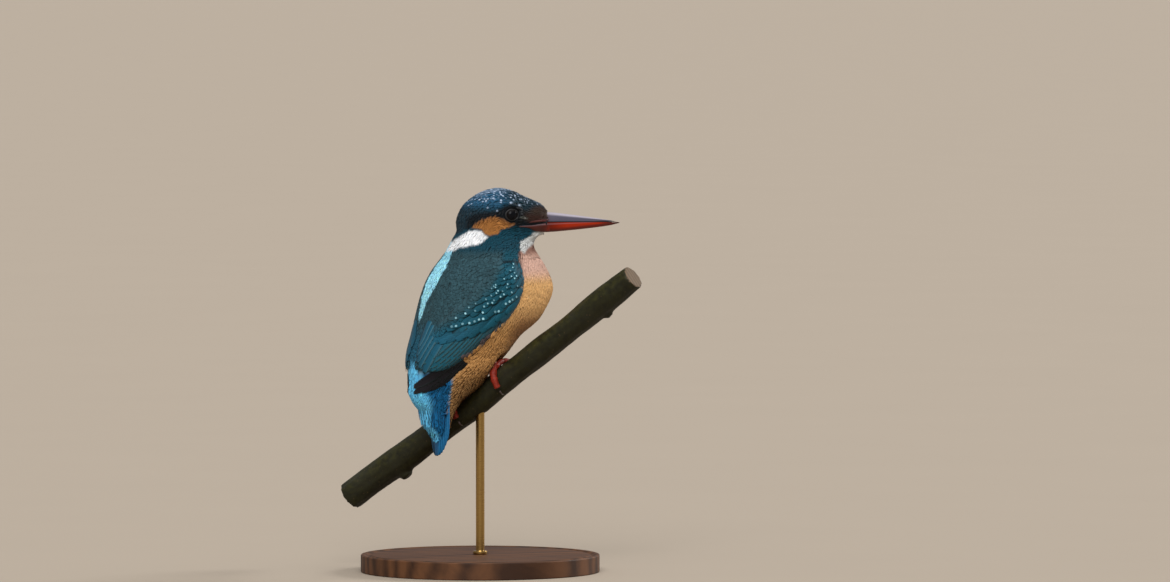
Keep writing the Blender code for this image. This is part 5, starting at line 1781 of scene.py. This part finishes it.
def turned_base(radius, height):
    """A turned profile: a foot, a cove, a step and a slightly sunk top."""
    cylinder = bpy.ops.mesh.primitive_cylinder_add
    base = primitive(cylinder, vertices=128, radius=radius, depth=height, location=(0, 0, height / 2))
    settled(base, "base", 30)
    editing(base, "FACE")
    choose(base, "FACE", lambda place, normal: normal.z > 0.9)
    for thickness, depth in ((1.6, 0.0), (1.2, -0.9), (1.0, 0.0), (1.2, 0.8), (30.0, 0.0)):
        bpy.ops.mesh.inset(thickness=thickness * MM, depth=depth * MM)
    done(base)
    bevelled(base, 0.5 * MM, 3, 28)
    return settled(outward(base), "base", 30)


def collared_rod(low, high, floor):
    """The rod, with a collar where it stands in the base."""
    cylinder = bpy.ops.mesh.primitive_cylinder_add
    rod = primitive(
        cylinder, vertices=40, radius=(high.x - low.x) / 2, depth=high.z - low.z,
        location=(0, 0, (low.z + high.z) / 2),
    )
    settled(rod, "rod", 30)
    editing(rod, "FACE")
    collar = 1.6 * MM
    for level in (floor + 0.02 * MM, floor + collar, floor + 2.2 * MM):
        bpy.ops.mesh.select_all(action="SELECT")
        bpy.ops.mesh.bisect(plane_co=(0, 0, level), plane_no=(0, 0, 1))

    def on_collar(place, normal):
        return abs(normal.z) < 0.1 and floor < place.z < floor + collar + 0.01 * MM

    choose(rod, "FACE", on_collar)
    bpy.ops.mesh.extrude_region_shrink_fatten(TRANSFORM_OT_shrink_fatten={"value": 1.3 * MM})
    done(rod)
    bevelled(outward(rod), 0.2 * MM, 2, 40)
    return settled(rod, "rod", 30)


class KINGFISHER_OT_mount(bpy.types.Operator):
    """The display stand: a turned walnut base and a brass rod with a collar"""

    bl_idname = "kingfisher.mount"
    bl_label = "Stand"

    def execute(self, context):
        low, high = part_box("stand_base")
        height = high.z - low.z
        base = turned_base((high.x - low.x) / 2, height)
        dressed(base, walnut_finish(parts()), "stand", "stand_base")
        rod = collared_rod(*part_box("stand_rod"), height)
        dressed(rod, brass_finish(tuple(parts().rod)), "rod", "stand_rod")
        return {"FINISHED"}


# --- stage --------------------------------------------------------------------------------------

# Soft lights: the way they come from, their spread in degrees and their strength
LIGHTS = (
    ("soft key", (-1.0, -1.6, 1.5), 40, 2.5),
    ("high fill", (0.2, -0.4, 2.0), 60, 0.9),
    ("breast light", (2.2, 0.1, 1.0), 18, 1.9),
)
VIEW_MIDDLE = (43.0, -21.9, 129.3)  # the place that the camera looks at


def aimed(name, data, place, way):
    """A light or camera that looks back along the way."""
    obj = bpy.data.objects.new(name, data)
    bpy.context.scene.collection.objects.link(obj)
    obj.location = place
    obj.rotation_euler = (-way).to_track_quat("-Z", "Y").to_euler()
    return obj


class KINGFISHER_OT_stage(bpy.types.Operator):
    """Plain pale floor, soft light and the camera"""

    bl_idname = "kingfisher.stage"
    bl_label = "Floor, lights and camera"

    def execute(self, context):
        group, scene = context.scene.kingfisher_stage, context.scene
        floor = primitive(bpy.ops.mesh.primitive_plane_add, size=160, location=(0, 0, 0))
        settled(floor, "floor")
        floor.data.materials.append(floor_finish(tuple(group.floor)))
        world = bpy.data.worlds.new("soft light")
        scene.world = world
        world.use_nodes = True
        background = world.node_tree.nodes["Background"]
        background.inputs["Color"].default_value = (*group.surround, 1.0)
        background.inputs["Strength"].default_value = 0.45
        for name, way, spread, power in LIGHTS:
            light = bpy.data.lights.new(name, "SUN")
            light.angle, light.energy = math.radians(spread), power
            aimed(name, light, Vector(way), Vector(way))
        camera = bpy.data.cameras.new("camera")
        camera.lens, camera.sensor_width, camera.clip_end = group.focal, 36.0, 200.0
        a, e = group.azimuth, group.elevation
        way = Vector((math.sin(a) * math.cos(e), -math.cos(a) * math.cos(e), math.sin(e)))
        place = Vector(VIEW_MIDDLE) * MM + way * group.distance
        scene.camera = aimed("camera", camera, place, way)
        scene.view_settings.view_transform = "Standard"
        return {"FINISHED"}


OPERATORS = (
    KINGFISHER_OT_stage,
    KINGFISHER_OT_skin,
    KINGFISHER_OT_coat,
    KINGFISHER_OT_wings,
    KINGFISHER_OT_tail,
    KINGFISHER_OT_eyes,
    KINGFISHER_OT_bill,
    KINGFISHER_OT_feet,
    KINGFISHER_OT_perch,
    KINGFISHER_OT_mount,
)
GROUPS = {
    "kingfisher_plumage": KingfisherPlumage,
    "kingfisher_parts": KingfisherParts,
    "kingfisher_stage": KingfisherStage,
}


class KINGFISHER_PT_pieces(bpy.types.Panel):
    """The kingfisher's pieces, in the order that they are made"""

    bl_label = "Kingfisher"
    bl_idname = "KINGFISHER_PT_pieces"
    bl_space_type = "VIEW_3D"
    bl_region_type = "UI"
    bl_category = "Kingfisher"

    def draw(self, context):
        for operator in OPERATORS:
            self.layout.operator(operator.bl_idname)
        for group in GROUPS:
            box = self.layout.box()
            settings = getattr(context.scene, group)
            for name in settings.bl_rna.properties.keys():
                if name not in ("rna_type", "name"):
                    box.prop(settings, name)


CLASSES = (*GROUPS.values(), *OPERATORS, KINGFISHER_PT_pieces)


def register():
    for cls in CLASSES:
        bpy.utils.register_class(cls)
    for name, cls in GROUPS.items():
        setattr(bpy.types.Scene, name, PointerProperty(type=cls))


def unregister():
    for name in GROUPS:
        delattr(bpy.types.Scene, name)
    for cls in reversed(CLASSES):
        bpy.utils.unregister_class(cls)


def main():
    register()
    bpy.ops.kingfisher.stage()
    bpy.ops.kingfisher.skin()
    bpy.ops.kingfisher.coat()
    bpy.ops.kingfisher.wings()
    bpy.ops.kingfisher.tail()
    bpy.ops.kingfisher.eyes()
    bpy.ops.kingfisher.bill()
    bpy.ops.kingfisher.feet()
    bpy.ops.kingfisher.perch()
    bpy.ops.kingfisher.mount()


if __name__ == "__main__":
    main()
